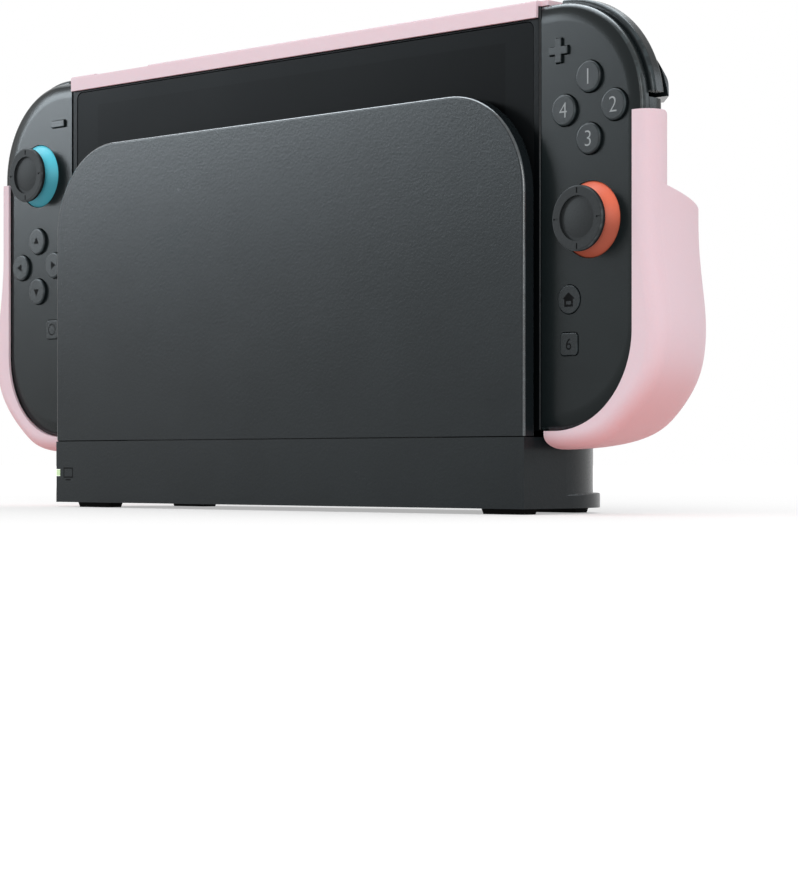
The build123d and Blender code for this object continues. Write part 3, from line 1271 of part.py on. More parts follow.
def rear_shell():
    shell = shell_between(SPLIT_Y + SHELL_SEAM / 2, BACK_Y + REAR_EDGE_RADIUS)
    margin = SHOULDER_PROUD + CONTROLLER_WALL
    shoulder_room = corner_band(
        margin, SHOULDER_INSIDE + SHOULDER_TRAVEL, SHOULDER_INNER_OUT - KEY_GAP,
        SHOULDER_END_DROP + SHOULDER_TRAVEL,
    )
    shell = shell - slab(shoulder_room, SPLIT_Y, SHOULDER_END_Y + TRIGGER_GAP / 2)
    trigger_room = corner_band(
        margin, TRIGGER_BAND + 2 * TRIGGER_GAP, TRIGGER_INNER_OUT - TRIGGER_GAP,
        TRIGGER_END_DROP + 2 * TRIGGER_GAP,
    )
    shell = shell - slab(trigger_room, SHOULDER_END_Y + TRIGGER_GAP / 2, BACK_Y + REAR_EDGE_RADIUS)
    start = SIDE_X + TRIGGER_INNER_OUT
    pin_block = block(
        SHOULDER_PIN_X - PIN_BLOCK_MARGIN, start - TRIGGER_GAP, TRIGGER_Y, TRIGGER_Y + PIN_BLOCK_DEPTH,
        TRIGGER_PIN_Z - PIN_BLOCK_MARGIN, TOP_Z - CONTROLLER_WALL / 2,
    )
    web = block(
        SHOULDER_PIN_X - PIN_BLOCK_MARGIN, SHOULDER_PIN_X + PIN_BLOCK_MARGIN, TRIGGER_Y,
        BACK_Y - CONTROLLER_WALL / 2, TRIGGER_PIN_Z - PIN_BLOCK_MARGIN, TRIGGER_PIN_Z,
    )
    shell = shell + ((pin_block + web) & controller_form(0))
    shell = shell - rod(
        (SHOULDER_PIN_X, TRIGGER_Y, SHOULDER_PIN_Z),
        (SHOULDER_PIN_X, TRIGGER_Y + SHOULDER_PIN_LENGTH + PIN_GAP, SHOULDER_PIN_Z), PIN_RADIUS + PIN_GAP,
    )
    shell = shell - rod(
        (start - TRIGGER_PIN_LENGTH - PIN_GAP, TRIGGER_PIN_Y, TRIGGER_PIN_Z),
        (start, TRIGGER_PIN_Y, TRIGGER_PIN_Z), PIN_RADIUS + PIN_GAP,
    )
    shell = shell - slab(release_view(KEY_GAP), BACK_Y - CONTROLLER_WALL, BACK_Y)
    for z in rail_key_levels():
        shell = shell - across(rail_key_view(z, KEY_GAP), INNER_X, INNER_X + CONTROLLER_WALL)
    board_back = FACE_Y + BOARD_DEPTH + BOARD_THICKNESS
    for x, z in board_boss_places():
        shell = shell + rod((x, board_back, z), (x, BACK_Y - CONTROLLER_WALL / 2, z), BOARD_BOSS_RADIUS)
    return shell


def controller_board(keys, stick_z):
    """Board with a switch under each key that it reaches, and two lugs that carry the stick's gimbal."""
    front = FACE_Y + BOARD_DEPTH
    inner = INNER_X + BOARD_INNER_INSET
    outer = OUTER_X - BOARD_INSET
    low = BOTTOM_Z + BOARD_INSET
    high = TOP_Z - TRIGGER_END_DROP - TRIGGER_GAP
    view = rectangle(inner, outer, low, high)
    lower_outer = view.vertices().sort_by_distance((outer, low, 0))[0]
    view = fillet(lower_outer, CONTROLLER_CORNER_RADIUS - BOARD_INSET)
    board = slab(view, front, front + BOARD_THICKNESS)
    lug_start = GIMBAL_RADIUS + GIMBAL_SIDE_GAP
    for side in (-1, 1):
        x = CLUSTER_X + side * (lug_start + LUG_THICKNESS / 2)
        lug = block(
            x - LUG_THICKNESS / 2, x + LUG_THICKNESS / 2, PIVOT_Y - LUG_HALF_WIDTH,
            front + BOARD_THICKNESS / 2, stick_z - LUG_HALF_WIDTH, stick_z + LUG_HALF_WIDTH,
        )
        hole = rod(
            (x - LUG_THICKNESS, PIVOT_Y, stick_z), (x + LUG_THICKNESS, PIVOT_Y, stick_z),
            GIMBAL_PIN_RADIUS + GIMBAL_PIN_GAP,
        )
        board = board + lug - hole
    for _, _, _, _, (x, z) in keys:
        if z < high - SWITCH_RADIUS:
            start = (x, front - SWITCH_HEIGHT, z)
            board = board + rod(start, (x, front + BOARD_THICKNESS / 2, z), SWITCH_RADIUS)
    return board


def stick_gimbal(stick_z):
    """Ring that turns in the lugs about X and carries the stem about Z."""
    half = GIMBAL_THICKNESS / 2
    view = Pos(CLUSTER_X, stick_z) * (Circle(GIMBAL_RADIUS) - Circle(GIMBAL_INNER_RADIUS))
    ring = slab(view, PIVOT_Y - half, PIVOT_Y + half)
    wall = (GIMBAL_RADIUS - GIMBAL_INNER_RADIUS) / 2
    reach = GIMBAL_RADIUS + GIMBAL_SIDE_GAP + LUG_THICKNESS
    for side in (-1, 1):
        start = CLUSTER_X + side * (GIMBAL_RADIUS - wall)
        end = CLUSTER_X + side * reach
        ring = ring + rod((start, PIVOT_Y, stick_z), (end, PIVOT_Y, stick_z), GIMBAL_PIN_RADIUS)
    bore = rod(
        (CLUSTER_X, PIVOT_Y, stick_z - GIMBAL_RADIUS), (CLUSTER_X, PIVOT_Y, stick_z + GIMBAL_RADIUS),
        GIMBAL_PIN_RADIUS + GIMBAL_PIN_GAP,
    )
    return ring - bore


CAP_TOP_Y = FACE_Y - STICK_CAP_PROUD
CAP_UNDER_Y = CAP_TOP_Y + STICK_CAP_THICKNESS
STEM_END_Y = CAP_UNDER_Y - STICK_CAP_THICKNESS + STICK_DISH_DEPTH + STICK_CLICK + 3 * STEM_BORE_GAP


def stick_stem(stick_z):
    stem = rod((CLUSTER_X, PIVOT_Y, stick_z), (CLUSTER_X, STEM_END_Y, stick_z), STEM_RADIUS)
    reach = GIMBAL_RADIUS - GIMBAL_PIN_GAP
    pin = rod((CLUSTER_X, PIVOT_Y, stick_z - reach), (CLUSTER_X, PIVOT_Y, stick_z + reach), GIMBAL_PIN_RADIUS)
    return stem + stick_sphere(stick_z, STEM_BALL_RADIUS) + pin


def stem_bore(stick_z):
    end = STEM_END_Y - STICK_CLICK - STEM_BORE_GAP
    return rod((CLUSTER_X, PIVOT_Y, stick_z), (CLUSTER_X, end, stick_z), STEM_RADIUS + STEM_BORE_GAP)


def stick_skirt(stick_z):
    """Coloured dome under the cap, part of a ball about the pivot."""
    far = SKIRT_RADIUS
    disc = rod(
        (CLUSTER_X, CAP_UNDER_Y, stick_z), (CLUSTER_X, CAP_UNDER_Y + SKIRT_DISC, stick_z), far
    )
    dome = stick_sphere(stick_z, far) - stick_sphere(stick_z, far - SKIRT_WALL)
    dome = dome + (disc & stick_sphere(stick_z, far - SKIRT_WALL / 2))
    rim_y = PIVOT_Y - far * math.cos(math.radians(SKIRT_HALF_ANGLE))
    keep = rod((CLUSTER_X, CAP_UNDER_Y, stick_z), (CLUSTER_X, rim_y, stick_z), 2 * far)
    return (dome & keep) - stem_bore(stick_z)


def stick_cap(stick_z):
    """Thumb cap with a shallow dish and four short ticks."""
    cap = rod((CLUSTER_X, CAP_UNDER_Y, stick_z), (CLUSTER_X, CAP_TOP_Y, stick_z), STICK_CAP_RADIUS)
    cap = fillet(cap.faces().sort_by(Axis.Y)[0].edges(), STICK_CAP_TOP_EDGE)
    cap = fillet(cap.faces().sort_by(Axis.Y)[-1].edges(), STICK_CAP_UNDER_EDGE)
    dish_y = CAP_TOP_Y + STICK_DISH_DEPTH
    dish = rod((CLUSTER_X, CAP_TOP_Y, stick_z), (CLUSTER_X, dish_y, stick_z), STICK_DISH_RADIUS)
    cap = cap - dish
    rise = STICK_DOME_RISE
    ball_radius = (STICK_DOME_RADIUS**2 + rise**2) / (2 * rise)
    ball = Pos(CLUSTER_X, dish_y - rise + ball_radius, stick_z) * Sphere(ball_radius)
    dome = ball & rod((CLUSTER_X, dish_y, stick_z), (CLUSTER_X, dish_y - rise, stick_z), STICK_DOME_RADIUS)
    cap = cap + dome
    middle = (STICK_DISH_RADIUS + STICK_CAP_RADIUS) / 2
    tick = Pos(middle, 0) * Rectangle(STICK_TICK_LENGTH, STICK_TICK_WIDTH)
    for i in range(4):
        turned = Pos(CLUSTER_X, stick_z) * Rot(0, 0, 90 * i) * tick
        cap = cap - slab(turned, CAP_TOP_Y, CAP_TOP_Y + STICK_TICK_DEPTH)
    return cap - stem_bore(stick_z)


def controller(side, keys, stick_z):
    """All pieces of one controller, by name, mirrored for the left side."""
    pieces = {
        "front_shell": front_shell(keys, stick_z),
        "rear_shell": rear_shell(),
        "side_rail": side_rail(),
        "main_board": controller_board(keys, stick_z),
        "stick_gimbal": stick_gimbal(stick_z),
        "stick_stem": stick_stem(stick_z),
        "stick_cap": stick_cap(stick_z),
        "stick_skirt": stick_skirt(stick_z),
        "shoulder_button": shoulder_button(),
        "trigger": trigger(),
        "release_button": release_button(),
        "lower_rail_button": rail_key(rail_key_levels()[0]),
        "upper_rail_button": rail_key(rail_key_levels()[1]),
    }
    for name, view, proud, edge, place in keys:
        pieces[name] = face_key(view, proud, edge, place)
    if side == "left":
        pieces = {name: mirror(piece, about=Plane.YZ) for name, piece in pieces.items()}
    return {f"{side}_{name}": piece for name, piece in pieces.items()}


LEFT_NAMES = {
    "up": "up_button",
    "down": "down_button",
    "inner": "right_button",
    "outer": "left_button",
    "sign": "minus_button",
}
RIGHT_NAMES = {
    "up": "top_button",
    "down": "bottom_button",
    "inner": "inner_button",
    "outer": "outer_button",
    "sign": "plus_button",
}


def build():
    left_keys = controller_keys(
        LEFT_NAMES, LOWER_CLUSTER_RISE, minus_view, [("capture_button", square_view, SMALL_KEY_RISE)]
    )
    right_keys = controller_keys(
        RIGHT_NAMES, UPPER_CLUSTER_RISE, plus_view,
        [("house_button", house_view, SMALL_KEY_RISE), ("square_button", square_view, LOW_KEY_RISE)],
    )
    right_grip = case_grip()
    nodes = {
        "dock_front_panel": dock_front_panel(),
        "dock_base": dock_base(),
        "dock_rear_housing": dock_rear_housing(),
        "dock_rear_cover": dock_rear_cover(),
        "dock_feet": row_of(foot_places(), dock_foot),
        "dock_indicator_lens": indicator_lens(),
        "dock_main_board": dock_main_board(),
        "dock_plug": dock_plug(),
        "console_screen": console_screen(),
        "console_frame": console_frame(),
        "console_rear_cover": console_rear_cover(),
        "console_kickstand": console_kickstand(),
        "console_power_button": console_power_button(),
        "console_volume_rocker": console_volume_rocker(),
        "console_card_flap": console_card_flap(),
        "console_battery": console_battery(),
        "console_main_board": console_main_board(),
        "console_fan_rotor": console_fan_rotor(),
        "case_back_panel": case_back_panel(),
        "case_right_grip": right_grip,
        "case_left_grip": mirror(right_grip, about=Plane.YZ),
    }
    nodes.update(controller("left", left_keys, BOTTOM_Z + UPPER_CLUSTER_RISE))
    nodes.update(controller("right", right_keys, BOTTOM_Z + LOWER_CLUSTER_RISE))
    return nodes


os.makedirs("parts", exist_ok=True)
for node_name, node in build().items():
    export_step(node, f"parts/{node_name}.step")
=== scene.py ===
import math

import bmesh
import bpy
from bpy.props import FloatProperty, FloatVectorProperty, PointerProperty
from mathutils import Matrix, Quaternion, Vector


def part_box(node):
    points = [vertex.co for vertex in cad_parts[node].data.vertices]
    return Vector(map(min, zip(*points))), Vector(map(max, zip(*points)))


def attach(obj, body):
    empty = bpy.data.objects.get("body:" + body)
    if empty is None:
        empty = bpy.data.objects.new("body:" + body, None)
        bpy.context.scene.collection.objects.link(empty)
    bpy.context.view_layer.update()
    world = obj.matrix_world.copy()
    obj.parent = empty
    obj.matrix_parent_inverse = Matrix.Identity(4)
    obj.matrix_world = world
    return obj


bl_info = {
    "name": "Docked Console",
    "version": (1, 0, 0),
    "blender": (4, 5, 0),
    "location": "View3D > Sidebar > Console",
    "description": "Finishes, signs, screws and stage for a game console in its dock",
    "category": "Object",
}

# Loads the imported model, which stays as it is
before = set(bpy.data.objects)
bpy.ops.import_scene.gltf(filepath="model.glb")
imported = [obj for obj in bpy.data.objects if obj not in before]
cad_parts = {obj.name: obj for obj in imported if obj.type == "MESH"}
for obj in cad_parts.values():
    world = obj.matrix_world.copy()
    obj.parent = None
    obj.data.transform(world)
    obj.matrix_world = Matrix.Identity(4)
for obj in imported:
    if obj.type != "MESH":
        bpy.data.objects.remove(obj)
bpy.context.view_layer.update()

SIDES = ("left", "right")
FACE_KEYS = {"top": "1", "outer": "2", "bottom": "3", "inner": "4"}
SQUARE_KEY = "6"
ARROW_KEYS = {"up": 0.0, "left": 90.0, "down": 180.0, "right": 270.0}
SMALL_LEFT_KEYS = ("minus", "capture")
SMALL_RIGHT_KEYS = ("plus", "house", "square")
EDGE_KEYS = ("shoulder_button", "trigger", "release_button", "lower_rail_button", "upper_rail_button")
INNER_NODES = ("side_rail", "stick_gimbal", "stick_stem")
DOCK_SHELL = ("dock_front_panel", "dock_base", "dock_rear_housing", "dock_rear_cover")
CONSOLE_SHELL = ("console_frame", "console_rear_cover", "console_kickstand")
CONSOLE_KEYS = ("console_power_button", "console_volume_rocker", "console_card_flap")
PLAIN_BOARDS = ("console_main_board", "left_main_board", "right_main_board")
CASE_NODES = ("case_back_panel", "case_left_grip", "case_right_grip")
WHITE = (1.0, 1.0, 1.0, 1.0)
NO_STRETCH = (1.0, 1.0, 1.0)
TRIANGLE = 3
SQUARE = 4
MERGE_DISTANCE = 0.000001

# Places of the colour mixing node's sockets
MIX_FACTOR = 0
MIX_FIRST = 6
MIX_SECOND = 7
MIX_RESULT = 2


# Settings in the sidebar


def length(label, description, metres):
    """Setting for a size in metres."""
    return FloatProperty(
        name=label, description=description, default=metres, min=0.0, unit="LENGTH", precision=6
    )


def angle(label, description, degrees):
    """Setting for an angle, given in degrees."""
    return FloatProperty(
        name=label, description=description, default=math.radians(degrees), subtype="ANGLE"
    )


def share(label, description, value):
    """Setting for a number with no unit."""
    return FloatProperty(name=label, description=description, default=value, min=0.0, precision=4)


def colour(label, description, red, green, blue):
    """Setting for a colour, in linear light."""
    return FloatVectorProperty(
        name=label,
        description=description,
        default=(red, green, blue),
        size=3,
        min=0.0,
        max=1.0,
        subtype="COLOR",
    )


def spot(label, description, x, y, z):
    """Setting for a place in the object's frame."""
    return FloatVectorProperty(
        name=label, description=description, default=(x, y, z), size=3, subtype="TRANSLATION", unit="LENGTH"
    )


class ConsoleColours(bpy.types.PropertyGroup):
    """Colours of the object's pieces."""

    dock: colour("Dock", "Dark plastic of the dock", 0.0085, 0.0118, 0.0134)
    console: colour("Console", "Dark plastic of the console", 0.0022, 0.0030, 0.0035)
    controller: colour("Controllers", "Dark plastic of the controllers", 0.0085, 0.0120, 0.0128)
    key: colour("Keys", "Plastic of the buttons and triggers", 0.0090, 0.0124, 0.0136)
    stick: colour("Stick caps", "Rubber of the stick caps", 0.0160, 0.0182, 0.0192)
    left_skirt: colour("Left ring", "Bright ring under the left stick", 0.110, 0.740, 0.930)
    right_skirt: colour("Right ring", "Bright ring under the right stick", 0.950, 0.190, 0.100)
    inner: colour("Inner plastic", "Rails, gimbals and stems", 0.010, 0.011, 0.012)
    case: colour("Case", "Pink of the protective case", 0.776, 0.578, 0.630)
    # Deeper pink painted on the case's down-turned faces as shade
    case_painted_shade: colour("Case, deep", "Warmer pink low on the grips", 0.720, 0.355, 0.365)
    glass: colour("Screen border", "Black under the screen's glass", 0.0050, 0.0058, 0.0064)
    display: colour("Display", "Dark display when it is off", 0.0025, 0.0029, 0.0032)
    rubber: colour("Feet", "Black rubber of the feet", 0.0040, 0.0040, 0.0040)
    light: colour("Light", "Lit indicator", 0.500, 0.660, 0.380)
    board: colour("Boards", "Green lacquer of the boards", 0.010, 0.095, 0.042)
    trace: colour("Traces", "Copper lines under the lacquer", 0.024, 0.170, 0.070)
    metal: colour("Sockets", "Plated metal of the sockets", 0.560, 0.570, 0.580)
    screw: colour("Screws", "Dark metal of the screws", 0.230, 0.235, 0.240)
    battery: colour("Battery", "Wrap of the battery", 0.045, 0.048, 0.052)
    pale_sign: colour("Pale signs", "Grey print on the round buttons", 0.330, 0.350, 0.360)
    dark_sign: colour("Dark signs", "Black print", 0.0020, 0.0020, 0.0022)


class ConsoleGloss(bpy.types.PropertyGroup):
    """Roughness of the finishes."""

    dock: share("Dock", "Roughness of the dock's plastic", 0.265)
    console: share("Console", "Roughness of the console's plastic", 0.30)
    controller: share("Controllers", "Roughness of the controllers' plastic", 0.24)
    key: share("Keys", "Roughness of the buttons", 0.26)
    stick: share("Stick caps", "Roughness of the stick caps", 0.55)
    skirt: share("Rings", "Roughness of the bright rings", 0.40)
    inner: share("Inner plastic", "Roughness of the inner plastic", 0.42)
    case: share("Case", "Roughness of the protective case", 0.50)
    glass: share("Screen", "Roughness of the screen", 0.24)
    rubber: share("Feet", "Roughness of the feet", 0.80)
    lacquer: share("Boards", "Roughness of the boards and sockets", 0.32)
    battery: share("Battery", "Roughness of the battery's wrap", 0.35)
    screw: share("Screws", "Roughness of the screws", 0.32)
    sign: share("Signs", "Roughness of the print", 0.55)
    crown: share("Controllers' slope", "Slope of a controller's face at its outer edge", 0.50)


class ConsoleSizes(bpy.types.PropertyGroup):
    """Sizes of the signs and screws, and of the marks in the finishes."""

    numeral: length("Numeral height", "Height of the numerals on the round buttons", 0.0041)
    small_numeral: length("Small numeral height", "Height of the numeral on the square button", 0.0031)
    print_height: length("Print height", "How far a sign stands off its surface", 0.00001)
    print_depth: length("Print depth", "How far a sign is set into its surface", 0.00004)
    arrow: length("Arrow size", "Corner distance of the arrows on the left buttons", 0.00155)
    house: length("House width", "Width of the house sign's roof", 0.0043)
    roof: length("Roof height", "Height of the house sign's roof", 0.0018)
    wall_width: length("Wall width", "Width of the house sign's walls", 0.0030)
    wall_height: length("Wall height", "Height of the house sign's walls", 0.0021)
    house_line: length("House line", "Width of the lines of the house sign", 0.00062)
    ring: length("Ring size", "Width of the ring on the square left button", 0.0038)
    ring_line: length("Ring line", "Width of the ring's line", 0.00040)
    picture_width: length("Screen sign width", "Width of the screen sign on the dock", 0.0048)
    picture_height: length("Screen sign height", "Height of the screen sign on the dock", 0.0033)
    picture_line: length("Screen sign line", "Line of the screen sign on the dock", 0.00042)
    picture_stand: length("Screen sign stand", "Width of the stand below the screen sign", 0.0026)
    picture_inset: length("Screen sign inset", "From the dock's side to the middle of the sign", 0.0061)
    picture_gap: length("Screen sign gap", "From the sign to its stand", 0.0006)
    seam: length("Seam", "From the end of the front panel's tongue to the seam", 0.0080)
    seal_length: length("Seal length", "Length of each seal in the seam", 0.0300)
    seal_depth: length("Seal depth", "Depth of the seals, front to back", 0.0008)
    seal_height: length("Seal height", "Height of the seals, which reach into both pieces", 0.0005)
    seal_inset: length("Seal inset", "From the panel's side to a seal", 0.0003)
    seal_back: length("Seal place", "From the panel's front to the middle of a seal", 0.0009)
    screw: length("Screw radius", "Radius of the screw heads under the dock", 0.0026)
    screw_recess: length("Recess radius", "Radius of the star recess in a screw head", 0.0014)
    screw_head: length("Head height", "How far a screw head stands off the dock", 0.0002)
    screw_side: length("Screw spacing", "From the dock's middle to the outer screws", 0.060)
    screw_front: length("Front screws", "From the dock's front to the front row of screws", 0.012)
    screw_rear: length("Rear screws", "From the back of the dock's base to the rear row of screws", 0.024)
    display_border: length("Display border", "From the screen's side to its display", 0.0105)
    display_top: length("Display top border", "From the screen's top to its display", 0.0048)
    display_blur: length("Display edge", "Width of the display's soft edge", 0.0003)
    crown_corner: length("Controller corner", "Radius of a controller's outer corners", 0.0295)
    crown_width: length("Controller edge", "Width of the soft edge round a controller's face", 0.0050)
    rear_socket: length("Rear sockets", "From the rear sockets' mouths to the board", 0.0104)
    side_socket: length("Side sockets", "From the side sockets' mouths to their board", 0.0139)


class ConsoleStage(bpy.types.PropertyGroup):
    """Camera, lamps and floor."""

    camera: spot("Camera", "Place of the camera", 0.5671, -0.5488, 0.0135)
    turn: angle("Camera turn", "Turn of the level camera about the upright axis", 44.46)
    lens: share("Focal length", "Focal length on a 36 mm frame, in millimetres", 106.54)
    rise: share("Camera shift", "Upward shift of the frame, as a share of its height", 0.0252)
    key: spot("Key lamp", "Place of the wide soft lamp at the front left", -1.72, -1.36, 0.76)
    key_width: length("Key lamp width", "Width of the lamp at the front left", 0.95)
    key_height: length("Key lamp height", "Height of the lamp at the front left", 0.7)
    key_power: share("Key lamp power", "Power of the lamp at the front left, in watts", 36.0)
    key_roll: angle("Key lamp roll", "Turn of the lamp at the front left about its own axis", 20.0)
    side: spot("Side lamp", "Place of the soft lamp at the back right", 1.42, 1.60, 0.72)
    side_width: length("Side lamp width", "Width of the lamp at the back right", 0.8)
    side_height: length("Side lamp height", "Height of the lamp at the back right", 0.8)
    side_power: share("Side lamp power", "Power of the lamp at the back right, in watts", 9.0)
    side_roll: angle("Side lamp roll", "Turn of the lamp at the back right about its own axis", 0.0)
    top: spot("Top lamp", "Place of the wide soft lamp above", -0.45, 0.25, 1.45)
    top_width: length("Top lamp width", "Width of the lamp above", 2.0)
    top_height: length("Top lamp height", "Height of the lamp above", 1.4)
    top_power: share("Top lamp power", "Power of the lamp above, in watts", 46.0)
    top_roll: angle("Top lamp roll", "Turn of the lamp above about its own axis", 0.0)
    fill: spot("Fill lamp", "Place of the large soft lamp at the camera's side", 1.20, -1.25, 0.55)
    fill_width: length("Fill lamp width", "Width of the lamp at the camera's side", 0.7)
    fill_height: length("Fill lamp height", "Height of the lamp at the camera's side", 0.7)
    fill_power: share("Fill lamp power", "Power of the lamp at the camera's side, in watts", 7.0)
    fill_roll: angle("Fill lamp roll", "Turn of the lamp at the camera's side about its own axis", 0.0)
    sheen: colour("Sheen", "Colour of the lamps that show only in the gloss", 0.83, 0.93, 1.0)
    aim: spot("Aim", "Point that the lamps face", 0.0, 0.0, 0.07)
    sky: share("Sky", "Strength of the even light from all around", 0.80)
    floor: length("Floor", "Side of the floor", 40.0)
    pale: share("Floor tone", "Lightness of the floor", 0.70)
    bounce: share("Floor bounce", "Light that the floor gives the object from below", 0.25)
    lift: share("Floor lift", "Light that the near floor adds for the camera", 0.42)
    near: length("Floor, near", "Distance up to which the floor keeps its shade", 0.35)
    far: length("Floor, far", "Distance from which the floor is white", 1.10)


class ConsoleSettings(bpy.types.PropertyGroup):
    """All the settings of the docked console."""

    colours: PointerProperty(type=ConsoleColours)
    gloss: PointerProperty(type=ConsoleGloss)
    sizes: PointerProperty(type=ConsoleSizes)
    stage: PointerProperty(type=ConsoleStage)


def settings(context):
    """The settings that the operators share."""
    return context.scene.docked_console


# Materials


class Value:
    """Number, colour or vector on a node's output. Arithmetic and comparison add Math nodes."""

    def __init__(self, nodes, socket):
        self.nodes = nodes
        self.socket = socket

    def combine(self, operation, *others):
        terms = dict(enumerate((self, *others)))
        return self.nodes.node("ShaderNodeMath", terms, operation=operation)

    def __add__(self, other):
        return self.combine("ADD", other)

    def __sub__(self, other):
        return self.combine("SUBTRACT", other)

    def __rsub__(self, other):
        return self.combine("MULTIPLY", -1.0) + other

    def __mul__(self, other):
        return self.combine("MULTIPLY", other)

    def __abs__(self):
        return self.combine("ABSOLUTE")

    def __gt__(self, other):
        return self.combine("GREATER_THAN", other)

    def __lt__(self, other):
        return self.combine("LESS_THAN", other)

    def either(self, other):
        return self.combine("MAXIMUM", other)

    __radd__ = __add__
    __rmul__ = __mul__


class Nodes:
    """Shader nodes of a material or of the sky."""

    def __init__(self, tree):
        self.tree = tree

    def feed(self, socket, value):
        """Link a value to a socket, or set the socket's own value."""
        if isinstance(value, Value):
            self.tree.links.new(value.socket, socket)
        else:
            socket.default_value = value

    def node(self, kind, inputs, output=0, **settings):
        """Add any node, with its settings first, then its inputs, and give one of its outputs."""
        made = self.tree.nodes.new(kind)
        for name, value in settings.items():
            setattr(made, name, value)
        for socket, value in inputs.items():
            self.feed(made.inputs[socket], value)
        return Value(self, made.outputs[output])

    def seen(self):
        """1 for rays from the camera, or mirrored or let through by a piece, and 0 for the light itself."""
        camera = self.node("ShaderNodeLightPath", {}, "Is Camera Ray")
        mirrored = self.node("ShaderNodeLightPath", {}, "Is Glossy Ray")
        through = self.node("ShaderNodeLightPath", {}, "Is Transmission Ray")
        return camera.either(mirrored).either(through)


class Finish(Nodes):
    """Procedural material that works on the object's own coordinates."""

    def __init__(self, name, constants):
        self.material = bpy.data.materials.new(name)
        self.material.use_nodes = True
        super().__init__(self.material.node_tree)
        self.shader = self.tree.nodes["Principled BSDF"]
        for socket, value in constants.items():
            self.shader.inputs[socket].default_value = value
        self.coordinates = self.node("ShaderNodeTexCoord", {}, "Object")

    def axis(self, letter):
        """One of the object's coordinates, in metres."""
        return self.node("ShaderNodeSeparateXYZ", {"Vector": self.coordinates}, letter)

    def facing(self, letter):
        """One part of the surface's direction, in the object's frame."""
        normal = self.node("ShaderNodeTexCoord", {}, "Normal")
        return self.node("ShaderNodeSeparateXYZ", {"Vector": normal}, letter)

    def noise(self, lumps, detail=2.0, stretch=NO_STRETCH):
        """Noise with so many lumps per metre, stretched along the axes."""
        mapped = self.node("ShaderNodeMapping", {"Vector": self.coordinates, "Scale": stretch})
        inputs = {"Vector": mapped, "Scale": lumps, "Detail": detail}
        return self.node("ShaderNodeTexNoise", inputs)

    def step(self, value, start, end):
        """Smooth step from 0 to 1 as a value goes from start to end."""
        inputs = {"Value": value, "From Min": start, "From Max": end}
        return self.node("ShaderNodeMapRange", inputs, interpolation_type="SMOOTHSTEP")

    def front_rim(self):
        """1 on the rounded edges round a piece's front, where hands rub it and where a painted highlight
        lightens it.
        """
        back = self.facing("Y")
        return self.step(back, RIM_SIDE, RIM_START) * self.step(back, RIM_FRONT, RIM_END)

    def mix(self, factor, first, second):
        """Colour between two others."""
        inputs = {MIX_FACTOR: factor, MIX_FIRST: opaque(first), MIX_SECOND: opaque(second)}
        return self.node("ShaderNodeMix", inputs, MIX_RESULT, data_type="RGBA")

    def uneven(self, amount, tint, dark, light):
        """Colour that varies from a darker to a lighter tone of itself."""
        return self.mix(amount, shaded(tint, dark), shaded(tint, light))

    def crown(self, low, high, corner, width, slope):
        """Height, in metres, of a face that falls away towards its rounded outer edge."""
        middle = (low.z + high.z) / 2
        across = (abs(self.axis("X")) - (high.x - corner)).either(0.0)
        along = (abs(self.axis("Z") - middle) - (high.z - middle - corner)).either(0.0)
        reach = (across * across + along * along).combine("SQRT")
        fall = (reach - (corner - width)).either(0.0)
        return fall * fall * (-slope / (2 * width))

    def relief(self, height):
        """Small bumps, with their height in metres, for the shader's normal."""
        self.set(Normal=self.node("ShaderNodeBump", {"Height": height, "Distance": 1.0}))

    def set(self, **sockets):
        """Feed the shader's sockets, whose names have spaces where these have underscores."""
        for name, value in sockets.items():
            self.feed(self.shader.inputs[name.replace("_", " ")], value)

    def on(self, *nodes):
        """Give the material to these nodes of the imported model."""
        for name in nodes:
            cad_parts[name].material_slots[0].material = self.material


def opaque(tint):
    """Colour with its alpha, unless it already comes from a node."""
    if isinstance(tint, Value):
        return tint
    return (*tint, 1.0)


def shaded(tint, factor):
    """Colour made lighter or darker by a factor."""
    return tuple(part * factor for part in tint)


def blended(first, second):
    """Half of each of two noises."""
    return first * HALF + second * HALF


# Marks in the finishes: lumps per metre, and where a mark starts and ends
CLOUD_LUMPS = 38.0
STREAK_LUMPS = 240.0
STREAK_STRETCH = (0.16, 1.0, 1.0)
STREAK_START = 0.62
STREAK_END = 0.74
PATCH_LUMPS = 420.0
PATCH_START = 0.42
PATCH_END = 0.60
COARSE_GRAIN = 900.0
PLASTIC_GRAIN = 1500.0
RUBBER_GRAIN = 1600.0
KEY_GRAIN = 2000.0

# Octaves of the noises that have more than two
FINE_DETAIL = 3.0
RICH_DETAIL = 4.0
SMUDGE_DETAIL = 5.0

# Depth of the grain, in metres
FINE_DEPTH = 0.00002
GRAIN_DEPTH = 0.00003
RUBBER_DEPTH = 0.00004

# Rubbed front edges, lightened as wear and as painted highlight: the surface's turn to the front where they
# start and end, and how they look
RIM_SIDE = -0.10
RIM_START = -0.35
RIM_FRONT = -0.985
RIM_END = -0.90
RIM_WEAR_AND_HIGHLIGHT = 3.6
RIM_POLISH = 0.05
RIM_LEAST = 0.35
RIM_PATCH = 0.65
COAT_ROUGHNESS = 0.15
COAT_IOR = 1.7

# How much tone and gloss vary in plastic and print
HALF = 0.5
PLASTIC_DARK = 0.70
PLASTIC_LIGHT = 1.30
CLOUD_GLOSS = 0.04
STREAK_GLOSS = 0.008
PRINT_DARK = 0.85
PRINT_LIGHT = 1.15
PRINT_GLOSS = 0.15

# Strength of each surface's mirror image
DOCK_MIRROR = 0.16
FOOT_MIRROR = 0.1
CONSOLE_MIRROR = 0.05
CONSOLE_KEY_MIRROR = 0.18
GLASS_MIRROR = 0.022
BATTERY_MIRROR = 0.4
BOARD_MIRROR = 0.4
CASE_MIRROR = 0.25
CONTROLLER_MIRROR = 0.155
KEY_MIRROR = 0.20
STICK_MIRROR = 0.14
RING_MIRROR = 0.3
INNER_MIRROR = 0.3
PRINT_MIRROR = 0.05

